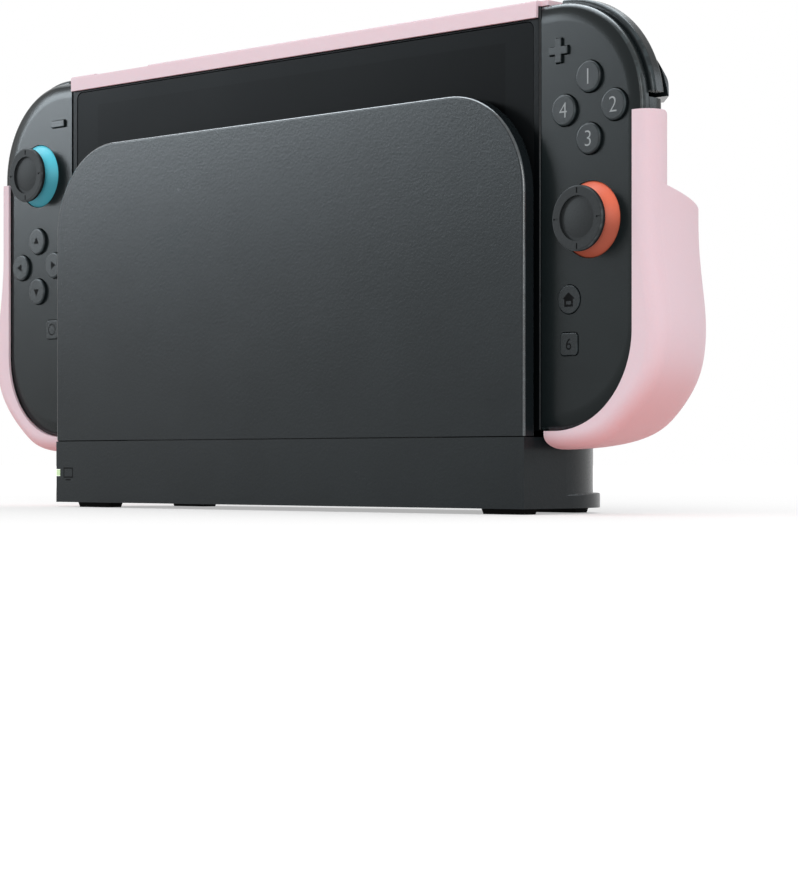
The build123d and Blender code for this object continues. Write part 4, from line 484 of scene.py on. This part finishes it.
# Polish of the rubbed front edges
DOCK_POLISH = 1.0
CONSOLE_POLISH = 0.2
CONSOLE_KEY_POLISH = 0.1
CONTROLLER_POLISH = 0.3
KEY_POLISH = 0.08


def moulded(name, tint, roughness, mirror, polish=0.0, grain=PLASTIC_GRAIN, depth=GRAIN_DEPTH, crown=()):
    """Moulded plastic with a fine grain, uneven tone and gloss, faint streaks, and rubbed front edges made
    lighter as wear and as painted highlight.
    """
    constants = {"Specular IOR Level": mirror, "Coat Roughness": COAT_ROUGHNESS, "Coat IOR": COAT_IOR}
    finish = Finish(name, constants)
    cloud = finish.noise(CLOUD_LUMPS, RICH_DETAIL)
    fine = finish.noise(grain, FINE_DETAIL)
    streak = finish.step(finish.noise(STREAK_LUMPS, stretch=STREAK_STRETCH), STREAK_START, STREAK_END)
    patch = finish.step(finish.noise(PATCH_LUMPS, FINE_DETAIL), PATCH_START, PATCH_END)
    rim = finish.front_rim()
    wear_and_highlight = rim * (RIM_LEAST + patch * RIM_PATCH)
    plain = finish.uneven(blended(cloud, fine), tint, PLASTIC_DARK, PLASTIC_LIGHT)
    marks = (cloud - HALF) * CLOUD_GLOSS - streak * STREAK_GLOSS
    finish.set(
        # Front edges lighter: partly wear, partly painted highlight
        Base_Color=finish.mix(wear_and_highlight, plain, shaded(tint, RIM_WEAR_AND_HIGHLIGHT)),
        Roughness=roughness + marks - wear_and_highlight * RIM_POLISH,
        Coat_Weight=rim * polish,
    )
    height = fine * depth
    if crown:
        height = height + finish.crown(*crown)
    finish.relief(height)
    return finish


def printed(name, tint, roughness):
    """Thin print, a little rubbed away in patches."""
    finish = Finish(name, {"Specular IOR Level": PRINT_MIRROR})
    wear = finish.noise(COARSE_GRAIN, FINE_DETAIL)
    finish.set(
        Base_Color=finish.uneven(wear, tint, PRINT_DARK, PRINT_LIGHT),
        Roughness=roughness + wear * PRINT_GLOSS,
    )
    return finish


class FinishDock(bpy.types.Operator):
    """Give the dock's shell, feet, light and plug their finishes."""

    bl_idname = "docked_console.finish_dock"
    bl_label = "Finish the dock"
    bl_options = {"REGISTER", "UNDO"}

    LENS_ROUGHNESS = 0.25
    LENS_GLOW = 0.35
    LENS_DARK = 0.85

    def execute(self, context):
        look = settings(context)
        colours, gloss = look.colours, look.gloss
        moulded("dock_plastic", colours.dock, gloss.dock, DOCK_MIRROR, DOCK_POLISH).on(*DOCK_SHELL)
        rubber = {"grain": RUBBER_GRAIN, "depth": RUBBER_DEPTH}
        moulded("foot_rubber", colours.rubber, gloss.rubber, FOOT_MIRROR, **rubber).on("dock_feet")
        moulded("plug_plastic", colours.inner, gloss.inner, INNER_MIRROR).on("dock_plug")
        self.light(colours).on("dock_indicator_lens")
        return {"FINISHED"}

    def light(self, colours):
        """Lit lens, a little uneven."""
        constants = {"Roughness": self.LENS_ROUGHNESS, "Emission Strength": self.LENS_GLOW}
        finish = Finish("indicator", constants)
        glow = finish.noise(COARSE_GRAIN)
        tint = finish.mix(glow, shaded(colours.light, self.LENS_DARK), colours.light)
        finish.set(Base_Color=tint, Emission_Color=tint)
        return finish


class FinishBoards(bpy.types.Operator):
    """Give the circuit boards lacquer and traces, and the dock's board its plated sockets."""

    bl_idname = "docked_console.finish_boards"
    bl_label = "Finish the boards"
    bl_options = {"REGISTER", "UNDO"}

    TRACE_LUMPS = 160.0
    TRACE_WIDTH = 0.05
    TRACE_PITCH = 0.7
    DUST_GLOSS = 0.2

    def execute(self, context):
        look = settings(context)
        self.lacquer("board", look).on(*PLAIN_BOARDS)
        finish = self.lacquer("socket_board", look)
        low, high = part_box("dock_main_board")
        rear = finish.axis("Y") > high.y - look.sizes.rear_socket
        side = finish.axis("X") < low.x + look.sizes.side_socket
        socket = rear.either(side)
        green = Value(finish, finish.shader.inputs["Base Color"].links[0].from_socket)
        finish.set(Base_Color=finish.mix(socket, green, look.colours.metal), Metallic=socket)
        finish.on("dock_main_board")
        return {"FINISHED"}

    def lacquer(self, name, look):
        """Green lacquer over a net of copper lines."""
        finish = Finish(name, {"Specular IOR Level": BOARD_MIRROR})
        pattern = {
            "Vector": finish.coordinates,
            "Scale": self.TRACE_LUMPS,
            "Mortar Size": self.TRACE_WIDTH,
            "Brick Width": self.TRACE_PITCH,
        }
        traces = finish.node("ShaderNodeTexBrick", pattern, "Fac")
        dust = finish.noise(STREAK_LUMPS, RICH_DETAIL)
        finish.set(
            Base_Color=finish.mix(traces, look.colours.board, look.colours.trace),
            Roughness=look.gloss.lacquer + dust * self.DUST_GLOSS,
        )
        finish.relief(traces * GRAIN_DEPTH)
        return finish


class FinishConsole(bpy.types.Operator):
    """Give the console's screen, frame, keys, battery and fan their finishes."""

    bl_idname = "docked_console.finish_console"
    bl_label = "Finish the console"
    bl_options = {"REGISTER", "UNDO"}

    SMUDGE_GLOSS = 0.12

    def execute(self, context):
        look = settings(context)
        colours, gloss = look.colours, look.gloss
        shell = moulded("console_plastic", colours.console, gloss.console, CONSOLE_MIRROR, CONSOLE_POLISH)
        shell.on(*CONSOLE_SHELL)
        shine = (CONSOLE_KEY_MIRROR, CONSOLE_KEY_POLISH)
        keys = moulded("console_key", colours.console, gloss.key, *shine, KEY_GRAIN, FINE_DEPTH)
        keys.on(*CONSOLE_KEYS)
        wrap = moulded("battery", colours.battery, gloss.battery, BATTERY_MIRROR, grain=COARSE_GRAIN)
        wrap.on("console_battery")
        moulded("fan_plastic", colours.inner, gloss.inner, INNER_MIRROR).on("console_fan_rotor")
        self.screen(look).on("console_screen")
        return {"FINISHED"}

    def screen(self, look):
        """Black glass with a dark display behind it, and a few finger marks."""
        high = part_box("console_screen")[1]
        sizes = look.sizes
        finish = Finish("screen_glass", {"Specular IOR Level": GLASS_MIRROR})
        start = high.x - sizes.display_border
        side = finish.step(abs(finish.axis("X")), start, start + sizes.display_blur)
        start = high.z - sizes.display_top
        top = finish.step(finish.axis("Z"), start, start + sizes.display_blur)
        border = side.either(top)
        marks = finish.noise(CLOUD_LUMPS, SMUDGE_DETAIL)
        finish.set(
            Base_Color=finish.mix(border, look.colours.display, look.colours.glass),
            Roughness=look.gloss.glass + marks * self.SMUDGE_GLOSS,
        )
        finish.relief(finish.noise(CLOUD_LUMPS) * FINE_DEPTH)
        return finish


class FinishCase(bpy.types.Operator):
    """Give the protective case its soft pink finish, with painted shade in a deeper pink on the faces that
    turn down.
    """

    bl_idname = "docked_console.finish_case"
    bl_label = "Finish the case"
    bl_options = {"REGISTER", "UNDO"}

    # Turn of the surface towards the floor where the painted shade starts and where it is full
    LEVEL = 0.10
    UNDER = -0.90
    CASE_DARK = 0.96
    CASE_LIGHT = 1.02
    CASE_GLOSS = 0.12
    RUBBED_GLOSS = 0.06
    SOFTNESS = 0.12
    SOFT_REACH = (1.0, 0.35, 0.30)
    SOFT_DEPTH = 0.004

    def execute(self, context):
        look = settings(context)
        finish = Finish(
            "case_pink",
            {
                "Specular IOR Level": CASE_MIRROR,
                "Subsurface Weight": self.SOFTNESS,
                "Subsurface Radius": self.SOFT_REACH,
                "Subsurface Scale": self.SOFT_DEPTH,
            },
        )
        cloud = finish.noise(CLOUD_LUMPS, FINE_DETAIL)
        fine = finish.noise(PLASTIC_GRAIN)
        rubbed = finish.step(finish.noise(PATCH_LUMPS, RICH_DETAIL), STREAK_START, STREAK_END)
        painted_shade = finish.step(finish.facing("Z"), self.LEVEL, self.UNDER)
        tone = blended(cloud, fine)
        plain = finish.uneven(tone, look.colours.case, self.CASE_DARK, self.CASE_LIGHT)
        finish.set(
            # Painted shade: faces that turn down go to the deeper pink
            Base_Color=finish.mix(painted_shade, plain, look.colours.case_painted_shade),
            Roughness=look.gloss.case + cloud * self.CASE_GLOSS - rubbed * self.RUBBED_GLOSS,
        )
        finish.relief(fine * FINE_DEPTH)
        finish.on(*CASE_NODES)
        return {"FINISHED"}


class FinishControllers(bpy.types.Operator):
    """Give the controllers' shells, keys, sticks and rings their finishes."""

    bl_idname = "docked_console.finish_controllers"
    bl_label = "Finish the controllers"
    bl_options = {"REGISTER", "UNDO"}

    # Painted shade on the rings: where it starts and where it is full as the surface turns down, and how
    # dark it gets
    RING_LIT = 0.55
    RING_LOW = -0.35
    RING_PAINTED_SHADE = 0.42
    RING_DARK = 0.92
    RING_LIGHT = 1.05
    RING_GLOSS = 0.1

    def execute(self, context):
        look = settings(context)
        colours, gloss = look.colours, look.gloss
        sizes = look.sizes
        crown = (*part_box("right_front_shell"), sizes.crown_corner, sizes.crown_width, gloss.crown)
        fine = {"grain": KEY_GRAIN, "depth": FINE_DEPTH}
        soft = {"grain": RUBBER_GRAIN, "depth": RUBBER_DEPTH}
        shine = (CONTROLLER_MIRROR, CONTROLLER_POLISH)
        shell = moulded(
            "controller_plastic", colours.controller, gloss.controller, *shine, crown=crown, **fine
        )
        keys = moulded("key_plastic", colours.key, gloss.key, KEY_MIRROR, KEY_POLISH, **fine)
        rubber = moulded("stick_rubber", colours.stick, gloss.stick, STICK_MIRROR, **soft)
        inner = moulded("inner_plastic", colours.inner, gloss.inner, INNER_MIRROR)
        for side in SIDES:
            shell.on(f"{side}_front_shell", f"{side}_rear_shell")
            keys.on(*(f"{side}_{part}" for part in EDGE_KEYS))
            rubber.on(f"{side}_stick_cap")
            inner.on(*(f"{side}_{part}" for part in INNER_NODES))
            tint = getattr(colours, f"{side}_skirt")
            self.ring(f"{side}_skirt", tint, gloss.skirt).on(f"{side}_stick_skirt")
        keys.on(*(f"left_{key}_button" for key in (*ARROW_KEYS, *SMALL_LEFT_KEYS)))
        keys.on(*(f"right_{key}_button" for key in (*FACE_KEYS, *SMALL_RIGHT_KEYS)))
        return {"FINISHED"}

    def ring(self, name, tint, roughness):
        """Bright plastic with a fine grain and uneven gloss, darker towards its underside by painted shade.
        """
        finish = Finish(name, {"Specular IOR Level": RING_MIRROR})
        cloud = finish.noise(STREAK_LUMPS, FINE_DETAIL)
        fine = finish.noise(KEY_GRAIN)
        painted_shade = finish.step(finish.facing("Z"), self.RING_LIT, self.RING_LOW)
        plain = finish.uneven(blended(cloud, fine), tint, self.RING_DARK, self.RING_LIGHT)
        finish.set(
            # Painted shade: faces that turn down go darker
            Base_Color=finish.mix(painted_shade, plain, shaded(tint, self.RING_PAINTED_SHADE)),
            Roughness=roughness + cloud * self.RING_GLOSS,
        )
        finish.relief(fine * FINE_DEPTH)
        return finish


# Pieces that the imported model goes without


def upright(middle):
    """Place of a flat sign that stands up and faces the front."""
    return Matrix.Translation(middle) @ Matrix.Rotation(math.pi / 2, 4, "X")


def front_of(node):
    """Place of a flat sign at the middle of a node's front."""
    low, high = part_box(node)
    return upright(((low.x + high.x) / 2, low.y, (low.z + high.z) / 2))


def thicken(shape, low, high):
    """Make flat faces solid from one height to another."""
    bmesh.ops.translate(shape, verts=shape.verts[:], vec=(0.0, 0.0, low))
    raised = bmesh.ops.extrude_face_region(shape, geom=shape.faces[:])["geom"]
    lifted = [part for part in raised if isinstance(part, bmesh.types.BMVert)]
    bmesh.ops.translate(shape, verts=lifted, vec=(0.0, 0.0, high - low))


def outline(shape, corners, width, height, line):
    """Add the outline of a flat figure with so many corners, fitted to a width and a height."""
    turn = Matrix.Rotation(math.pi / corners, 4, "Z")
    made = bmesh.ops.create_circle(shape, cap_ends=True, segments=corners, radius=1.0, matrix=turn)["verts"]
    reach_x = max(vertex.co.x for vertex in made)
    reach_y = max(vertex.co.y for vertex in made)
    bmesh.ops.scale(shape, verts=made, vec=(width / 2 / reach_x, height / 2 / reach_y, 1.0))
    shape.normal_update()
    face = made[0].link_faces[0]
    bmesh.ops.inset_region(shape, faces=[face], thickness=line, use_even_offset=True, use_boundary=True)
    bmesh.ops.delete(shape, geom=[face], context="FACES")


def piece(name, shape, place, finish, body):
    """Turn a shape into a mesh object at its place, which moves with a body."""
    bmesh.ops.remove_doubles(shape, verts=shape.verts[:], dist=MERGE_DISTANCE)
    bmesh.ops.transform(shape, matrix=place, verts=shape.verts[:])
    bmesh.ops.recalc_face_normals(shape, faces=shape.faces[:])
    mesh = bpy.data.meshes.new(name)
    shape.to_mesh(mesh)
    shape.free()
    mesh.materials.append(finish.material)
    made = bpy.data.objects.new(name, mesh)
    bpy.context.scene.collection.objects.link(made)
    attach(made, body)


def numeral(text, height, thinning, sizes):
    """Flat numeral, centred, as a solid shape."""
    curve = bpy.data.curves.new("numeral", "FONT")
    curve.body = text
    curve.offset = -thinning
    curve.extrude = (sizes.print_height + sizes.print_depth) / 2
    writer = bpy.data.objects.new("numeral", curve)
    bpy.context.scene.collection.objects.link(writer)
    bpy.context.view_layer.update()
    mesh = bpy.data.meshes.new_from_object(writer.evaluated_get(bpy.context.evaluated_depsgraph_get()))
    bpy.data.objects.remove(writer)
    shape = bmesh.new()
    shape.from_mesh(mesh)
    bpy.data.meshes.remove(mesh)
    low = Vector([min(vertex.co[axis] for vertex in shape.verts) for axis in range(3)])
    high = Vector([max(vertex.co[axis] for vertex in shape.verts) for axis in range(3)])
    bmesh.ops.translate(shape, verts=shape.verts[:], vec=-(low + high) / 2)
    factor = height / (high.y - low.y)
    bmesh.ops.scale(shape, verts=shape.verts[:], vec=(factor, factor, 1.0))
    lift = (sizes.print_height - sizes.print_depth) / 2
    bmesh.ops.translate(shape, verts=shape.verts[:], vec=(0.0, 0.0, lift))
    return shape


class AddNumerals(bpy.types.Operator):
    """Print a numeral on each round right button and on the square one."""

    bl_idname = "docked_console.add_numerals"
    bl_label = "Add the numerals"
    bl_options = {"REGISTER", "UNDO"}

    THINNING = 0.014

    def execute(self, context):
        look = settings(context)
        pale = printed("pale_sign", look.colours.pale_sign, look.gloss.sign)
        dark = printed("square_sign", look.colours.dark_sign, look.gloss.sign)
        for key, text in FACE_KEYS.items():
            self.add(f"right_{key}", numeral(text, look.sizes.numeral, self.THINNING, look.sizes), pale)
        self.add("right_square", numeral(SQUARE_KEY, look.sizes.small_numeral, 0.0, look.sizes), dark)
        return {"FINISHED"}

    def add(self, key, shape, finish):
        """Put one numeral on one button."""
        piece(f"{key}_numeral", shape, front_of(f"{key}_button"), finish, f"{key}_key")


class AddArrows(bpy.types.Operator):
    """Print a small arrow on each of the four left buttons."""

    bl_idname = "docked_console.add_arrows"
    bl_label = "Add the arrows"
    bl_options = {"REGISTER", "UNDO"}

    def execute(self, context):
        look = settings(context)
        finish = printed("arrow_sign", look.colours.dark_sign, look.gloss.sign)
        for key, degrees in ARROW_KEYS.items():
            shape = bmesh.new()
            bmesh.ops.create_circle(shape, cap_ends=True, segments=TRIANGLE, radius=look.sizes.arrow)
            thicken(shape, -look.sizes.print_depth, look.sizes.print_height)
            place = front_of(f"left_{key}_button") @ Matrix.Rotation(math.radians(degrees), 4, "Z")
            piece(f"left_{key}_arrow", shape, place, finish, f"left_{key}_key")
        return {"FINISHED"}


class AddHouse(bpy.types.Operator):
    """Print the house sign on the lower round right button."""

    bl_idname = "docked_console.add_house"
    bl_label = "Add the house sign"
    bl_options = {"REGISTER", "UNDO"}

    OVERLAP = 0.00001

    def execute(self, context):
        look = settings(context)
        sizes = look.sizes
        shape = bmesh.new()
        outline(shape, SQUARE, sizes.wall_width, sizes.wall_height, sizes.house_line)
        bmesh.ops.translate(shape, verts=shape.verts[:], vec=(0.0, -sizes.roof / 2, 0.0))
        roof = bmesh.ops.create_circle(shape, cap_ends=True, segments=TRIANGLE, radius=1.0)["verts"]
        low = min(vertex.co.y for vertex in roof)
        bmesh.ops.translate(shape, verts=roof, vec=(0.0, -low, 0.0))
        wide = max(vertex.co.x for vertex in roof)
        tall = max(vertex.co.y for vertex in roof)
        bmesh.ops.scale(shape, verts=roof, vec=(sizes.house / 2 / wide, sizes.roof / tall, 1.0))
        eaves = (sizes.wall_height - sizes.roof) / 2 - self.OVERLAP
        bmesh.ops.translate(shape, verts=roof, vec=(0.0, eaves, 0.0))
        thicken(shape, -sizes.print_depth, sizes.print_height)
        finish = printed("house_sign", look.colours.dark_sign, look.gloss.sign)
        place = front_of("right_house_button")
        piece("right_house_sign", shape, place, finish, "right_house_key")
        return {"FINISHED"}


class AddRing(bpy.types.Operator):
    """Print the ring on the square left button."""

    bl_idname = "docked_console.add_ring"
    bl_label = "Add the ring"
    bl_options = {"REGISTER", "UNDO"}

    SEGMENTS = 48

    def execute(self, context):
        look = settings(context)
        shape = bmesh.new()
        outline(shape, self.SEGMENTS, look.sizes.ring, look.sizes.ring, look.sizes.ring_line)
        thicken(shape, -look.sizes.print_depth, look.sizes.print_height)
        finish = printed("ring_sign", look.colours.dark_sign, look.gloss.sign)
        place = front_of("left_capture_button")
        piece("left_capture_ring", shape, place, finish, "left_capture_key")
        return {"FINISHED"}


class AddScreenSign(bpy.types.Operator):
    """Print the small screen sign on the front of the dock's base."""

    bl_idname = "docked_console.add_screen_sign"
    bl_label = "Add the screen sign"
    bl_options = {"REGISTER", "UNDO"}

    def execute(self, context):
        look = settings(context)
        sizes = look.sizes
        shape = bmesh.new()
        outline(shape, SQUARE, sizes.picture_width, sizes.picture_height, sizes.picture_line)
        size = Matrix.Diagonal((sizes.picture_stand, sizes.picture_line, 1.0, 1.0))
        drop = sizes.picture_height / 2 + sizes.picture_gap
        stand = Matrix.Translation((0.0, -drop, 0.0)) @ size
        bmesh.ops.create_grid(shape, x_segments=1, y_segments=1, size=0.5, matrix=stand)
        thicken(shape, -sizes.print_depth, sizes.print_height)
        base_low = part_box("dock_base")[0]
        lens_low, lens_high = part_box("dock_indicator_lens")
        middle = (base_low.x + sizes.picture_inset, base_low.y, (lens_low.z + lens_high.z) / 2)
        finish = printed("screen_sign", look.colours.dark_sign, look.gloss.sign)
        piece("dock_screen_sign", shape, upright(middle), finish, "dock")
        return {"FINISHED"}


class AddSeals(bpy.types.Operator):
    """Set a thin dark seal into the seam below the dock's front panel, beside each end of its tongue."""

    bl_idname = "docked_console.add_seals"
    bl_label = "Add the seals"
    bl_options = {"REGISTER", "UNDO"}

    def execute(self, context):
        look = settings(context)
        sizes = look.sizes
        low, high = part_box("dock_front_panel")
        finish = printed("seal_rubber", look.colours.rubber, look.gloss.rubber)
        size = Matrix.Diagonal((sizes.seal_length, sizes.seal_depth, sizes.seal_height, 1.0))
        reach = high.x - sizes.seal_inset - sizes.seal_length / 2
        for side, x in zip(SIDES, (-reach, reach)):
            shape = bmesh.new()
            bmesh.ops.create_cube(shape, size=1.0, matrix=size)
            middle = (x, low.y + sizes.seal_back, low.z + sizes.seam)
            piece(f"dock_seal_{side}", shape, Matrix.Translation(middle), finish, "dock")
        return {"FINISHED"}


class AddScrews(bpy.types.Operator):
    """Set screws with star recesses into the underside of the dock."""

    bl_idname = "docked_console.add_screws"
    bl_label = "Add the screws"
    bl_options = {"REGISTER", "UNDO"}

    RIM_SEGMENTS = 36
    STAR_CORNERS = 12
    STAR_DEPTH = 0.7
    RIM_HEIGHTS = 2.0
    STAR_HEIGHTS = 1.5
    METAL_DARK = 0.8
    METAL_LIGHT = 1.2
    METAL_GLOSS = 0.15

    def execute(self, context):
        look = settings(context)
        sizes = look.sizes
        low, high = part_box("dock_base")
        finish = Finish("screw_metal", {"Metallic": 1.0})
        brushed = finish.noise(COARSE_GRAIN, FINE_DETAIL)
        finish.set(
            Base_Color=finish.uneven(brushed, look.colours.screw, self.METAL_DARK, self.METAL_LIGHT),
            Roughness=look.gloss.screw + brushed * self.METAL_GLOSS,
        )
        columns = (("left", -sizes.screw_side), ("middle", 0.0), ("right", sizes.screw_side))
        rows = (low.y + sizes.screw_front, high.y - sizes.screw_rear)
        for row, y in zip(("front", "rear"), rows):
            for name, x in columns:
                place = Matrix.Translation((x, y, low.z)) @ Matrix.Rotation(math.pi, 4, "X")
                piece(f"dock_screw_{row}_{name}", self.head(sizes), place, finish, "dock")
        return {"FINISHED"}

    def head(self, sizes):
        """Round head with a six-pointed star recess."""
        shape = bmesh.new()
        circle = bmesh.ops.create_circle
        rim = circle(shape, segments=self.RIM_SEGMENTS, radius=sizes.screw)["verts"]
        star = circle(shape, segments=self.STAR_CORNERS, radius=sizes.screw_recess)["verts"]
        bmesh.ops.scale(shape, verts=star[::2], vec=(self.STAR_DEPTH, self.STAR_DEPTH, 1.0))
        bmesh.ops.bridge_loops(shape, edges=shape.edges[:])
        bmesh.ops.translate(shape, verts=shape.verts[:], vec=(0.0, 0.0, sizes.screw_head))
        for loop, heights in ((rim, self.RIM_HEIGHTS), (star, self.STAR_HEIGHTS)):
            edges = {
                edge for vertex in loop for edge in vertex.link_edges if edge.other_vert(vertex) in loop
            }
            wall = bmesh.ops.extrude_edge_only(shape, edges=list(edges))["geom"]
            lower = [part for part in wall if isinstance(part, bmesh.types.BMVert)]
            floor = [part for part in wall if isinstance(part, bmesh.types.BMEdge)]
            bmesh.ops.translate(shape, verts=lower, vec=(0.0, 0.0, -heights * sizes.screw_head))
            bmesh.ops.contextual_create(shape, geom=floor)
        return shape


# Stage


class BuildStage(bpy.types.Operator):
    """Set up the camera, the lamps, the even light and the pale floor."""

    bl_idname = "docked_console.build_stage"
    bl_label = "Build the stage"
    bl_options = {"REGISTER", "UNDO"}

    LAMPS = ("key", "side", "top", "fill")
    SHEEN = ("key", "side", "top")
    CLIP_START = 0.01
    GRAIN = 0.02

    def execute(self, context):
        stage = settings(context).stage
        self.camera(context, stage)
        for name in self.LAMPS:
            self.lamp(context, stage, name)
        self.sky(context, stage)
        self.floor(context, stage)
        context.scene.view_settings.view_transform = "Standard"
        return {"FINISHED"}

    def camera(self, context, stage):
        """Level camera at the front right."""
        data = bpy.data.cameras.new("camera")
        data.lens = stage.lens
        data.shift_y = stage.rise
        data.clip_start = self.CLIP_START
        eye = bpy.data.objects.new("camera", data)
        eye.location = stage.camera
        eye.rotation_euler = (math.pi / 2, 0.0, stage.turn)
        context.scene.collection.objects.link(eye)
        context.scene.camera = eye

    def lamp(self, context, stage, name):
        """Wide soft lamp that faces the object. A sheen lamp shows only in glossy reflections."""
        place = Vector(getattr(stage, name))
        data = bpy.data.lights.new(f"{name}_lamp", "AREA")
        data.shape = "RECTANGLE"
        data.size = getattr(stage, f"{name}_width")
        data.size_y = getattr(stage, f"{name}_height")
        data.energy = getattr(stage, f"{name}_power")
        lamp = bpy.data.objects.new(f"{name}_lamp", data)
        lamp.location = place
        if name in self.SHEEN:
            data.color = stage.sheen
            lamp.visible_diffuse = False
        roll = Quaternion((0.0, 0.0, 1.0), getattr(stage, f"{name}_roll"))
        lamp.rotation_euler = ((Vector(stage.aim) - place).to_track_quat("-Z", "Y") @ roll).to_euler()
        context.scene.collection.objects.link(lamp)

    def sky(self, context, stage):
        """Even light all around, which looks white to the camera and in what mirrors it."""
        world = bpy.data.worlds.new("sky")
        world.use_nodes = True
        nodes = Nodes(world.node_tree)
        lit = nodes.node("ShaderNodeBackground", {"Color": WHITE, "Strength": stage.sky})
        white = nodes.node("ShaderNodeBackground", {"Color": WHITE})
        mixed = nodes.node("ShaderNodeMixShader", {0: nodes.seen(), 1: lit, 2: white})
        nodes.feed(world.node_tree.nodes["World Output"].inputs["Surface"], mixed)
        context.scene.world = world

    def floor(self, context, stage):
        """Pale floor that keeps the shadow and runs into the white background."""
        shape = bmesh.new()
        bmesh.ops.create_grid(shape, x_segments=1, y_segments=1, size=stage.floor / 2)
        mesh = bpy.data.meshes.new("floor")
        shape.to_mesh(mesh)
        shape.free()
        finish = Finish("floor", {"Roughness": 1.0, "Specular IOR Level": 0.0, "Emission Strength": 1.0})
        grain = finish.noise(PATCH_LUMPS, FINE_DETAIL)
        pale = (stage.pale,) * 3
        reach = finish.node("ShaderNodeVectorMath", {0: finish.coordinates}, "Value", operation="LENGTH")
        lift = (stage.lift,) * 3
        glow = finish.mix(finish.step(reach, stage.near, stage.far), lift, WHITE[:3])
        finish.set(
            Base_Color=finish.uneven(grain, pale, 1.0 - self.GRAIN, 1.0 + self.GRAIN),
            Emission_Color=finish.mix(finish.seen(), (stage.bounce,) * 3, glow),
        )
        mesh.materials.append(finish.material)
        ground = bpy.data.objects.new("floor", mesh)
        context.scene.collection.objects.link(ground)


class ConsolePanel(bpy.types.Panel):
    """Settings and steps of the docked console."""

    bl_idname = "VIEW3D_PT_docked_console"
    bl_label = "Docked Console"
    bl_space_type = "VIEW_3D"
    bl_region_type = "UI"
    bl_category = "Console"

    def draw(self, context):
        look = settings(context)
        for group in (look.colours, look.gloss, look.sizes, look.stage):
            box = self.layout.box()
            for name in group.__annotations__:
                box.prop(group, name)
        for step in STEPS:
            self.layout.operator(step.bl_idname)


STEPS = (
    FinishDock,
    FinishBoards,
    FinishConsole,
    FinishCase,
    FinishControllers,
    AddNumerals,
    AddArrows,
    AddHouse,
    AddRing,
    AddScreenSign,
    AddSeals,
    AddScrews,
    BuildStage,
)
GROUPS = (ConsoleColours, ConsoleGloss, ConsoleSizes, ConsoleStage, ConsoleSettings)
CLASSES = (*GROUPS, *STEPS, ConsolePanel)


def register():
    for item in CLASSES:
        bpy.utils.register_class(item)
    bpy.types.Scene.docked_console = PointerProperty(type=ConsoleSettings)


def unregister():
    del bpy.types.Scene.docked_console
    for item in reversed(CLASSES):
        bpy.utils.unregister_class(item)


def main():
    register()
    bpy.ops.docked_console.finish_dock()
    bpy.ops.docked_console.finish_boards()
    bpy.ops.docked_console.finish_console()
    bpy.ops.docked_console.finish_case()
    bpy.ops.docked_console.finish_controllers()
    bpy.ops.docked_console.add_numerals()
    bpy.ops.docked_console.add_arrows()
    bpy.ops.docked_console.add_house()
    bpy.ops.docked_console.add_ring()
    bpy.ops.docked_console.add_screen_sign()
    bpy.ops.docked_console.add_seals()
    bpy.ops.docked_console.add_screws()
    bpy.ops.docked_console.build_stage()


if __name__ == "__main__":
    main()
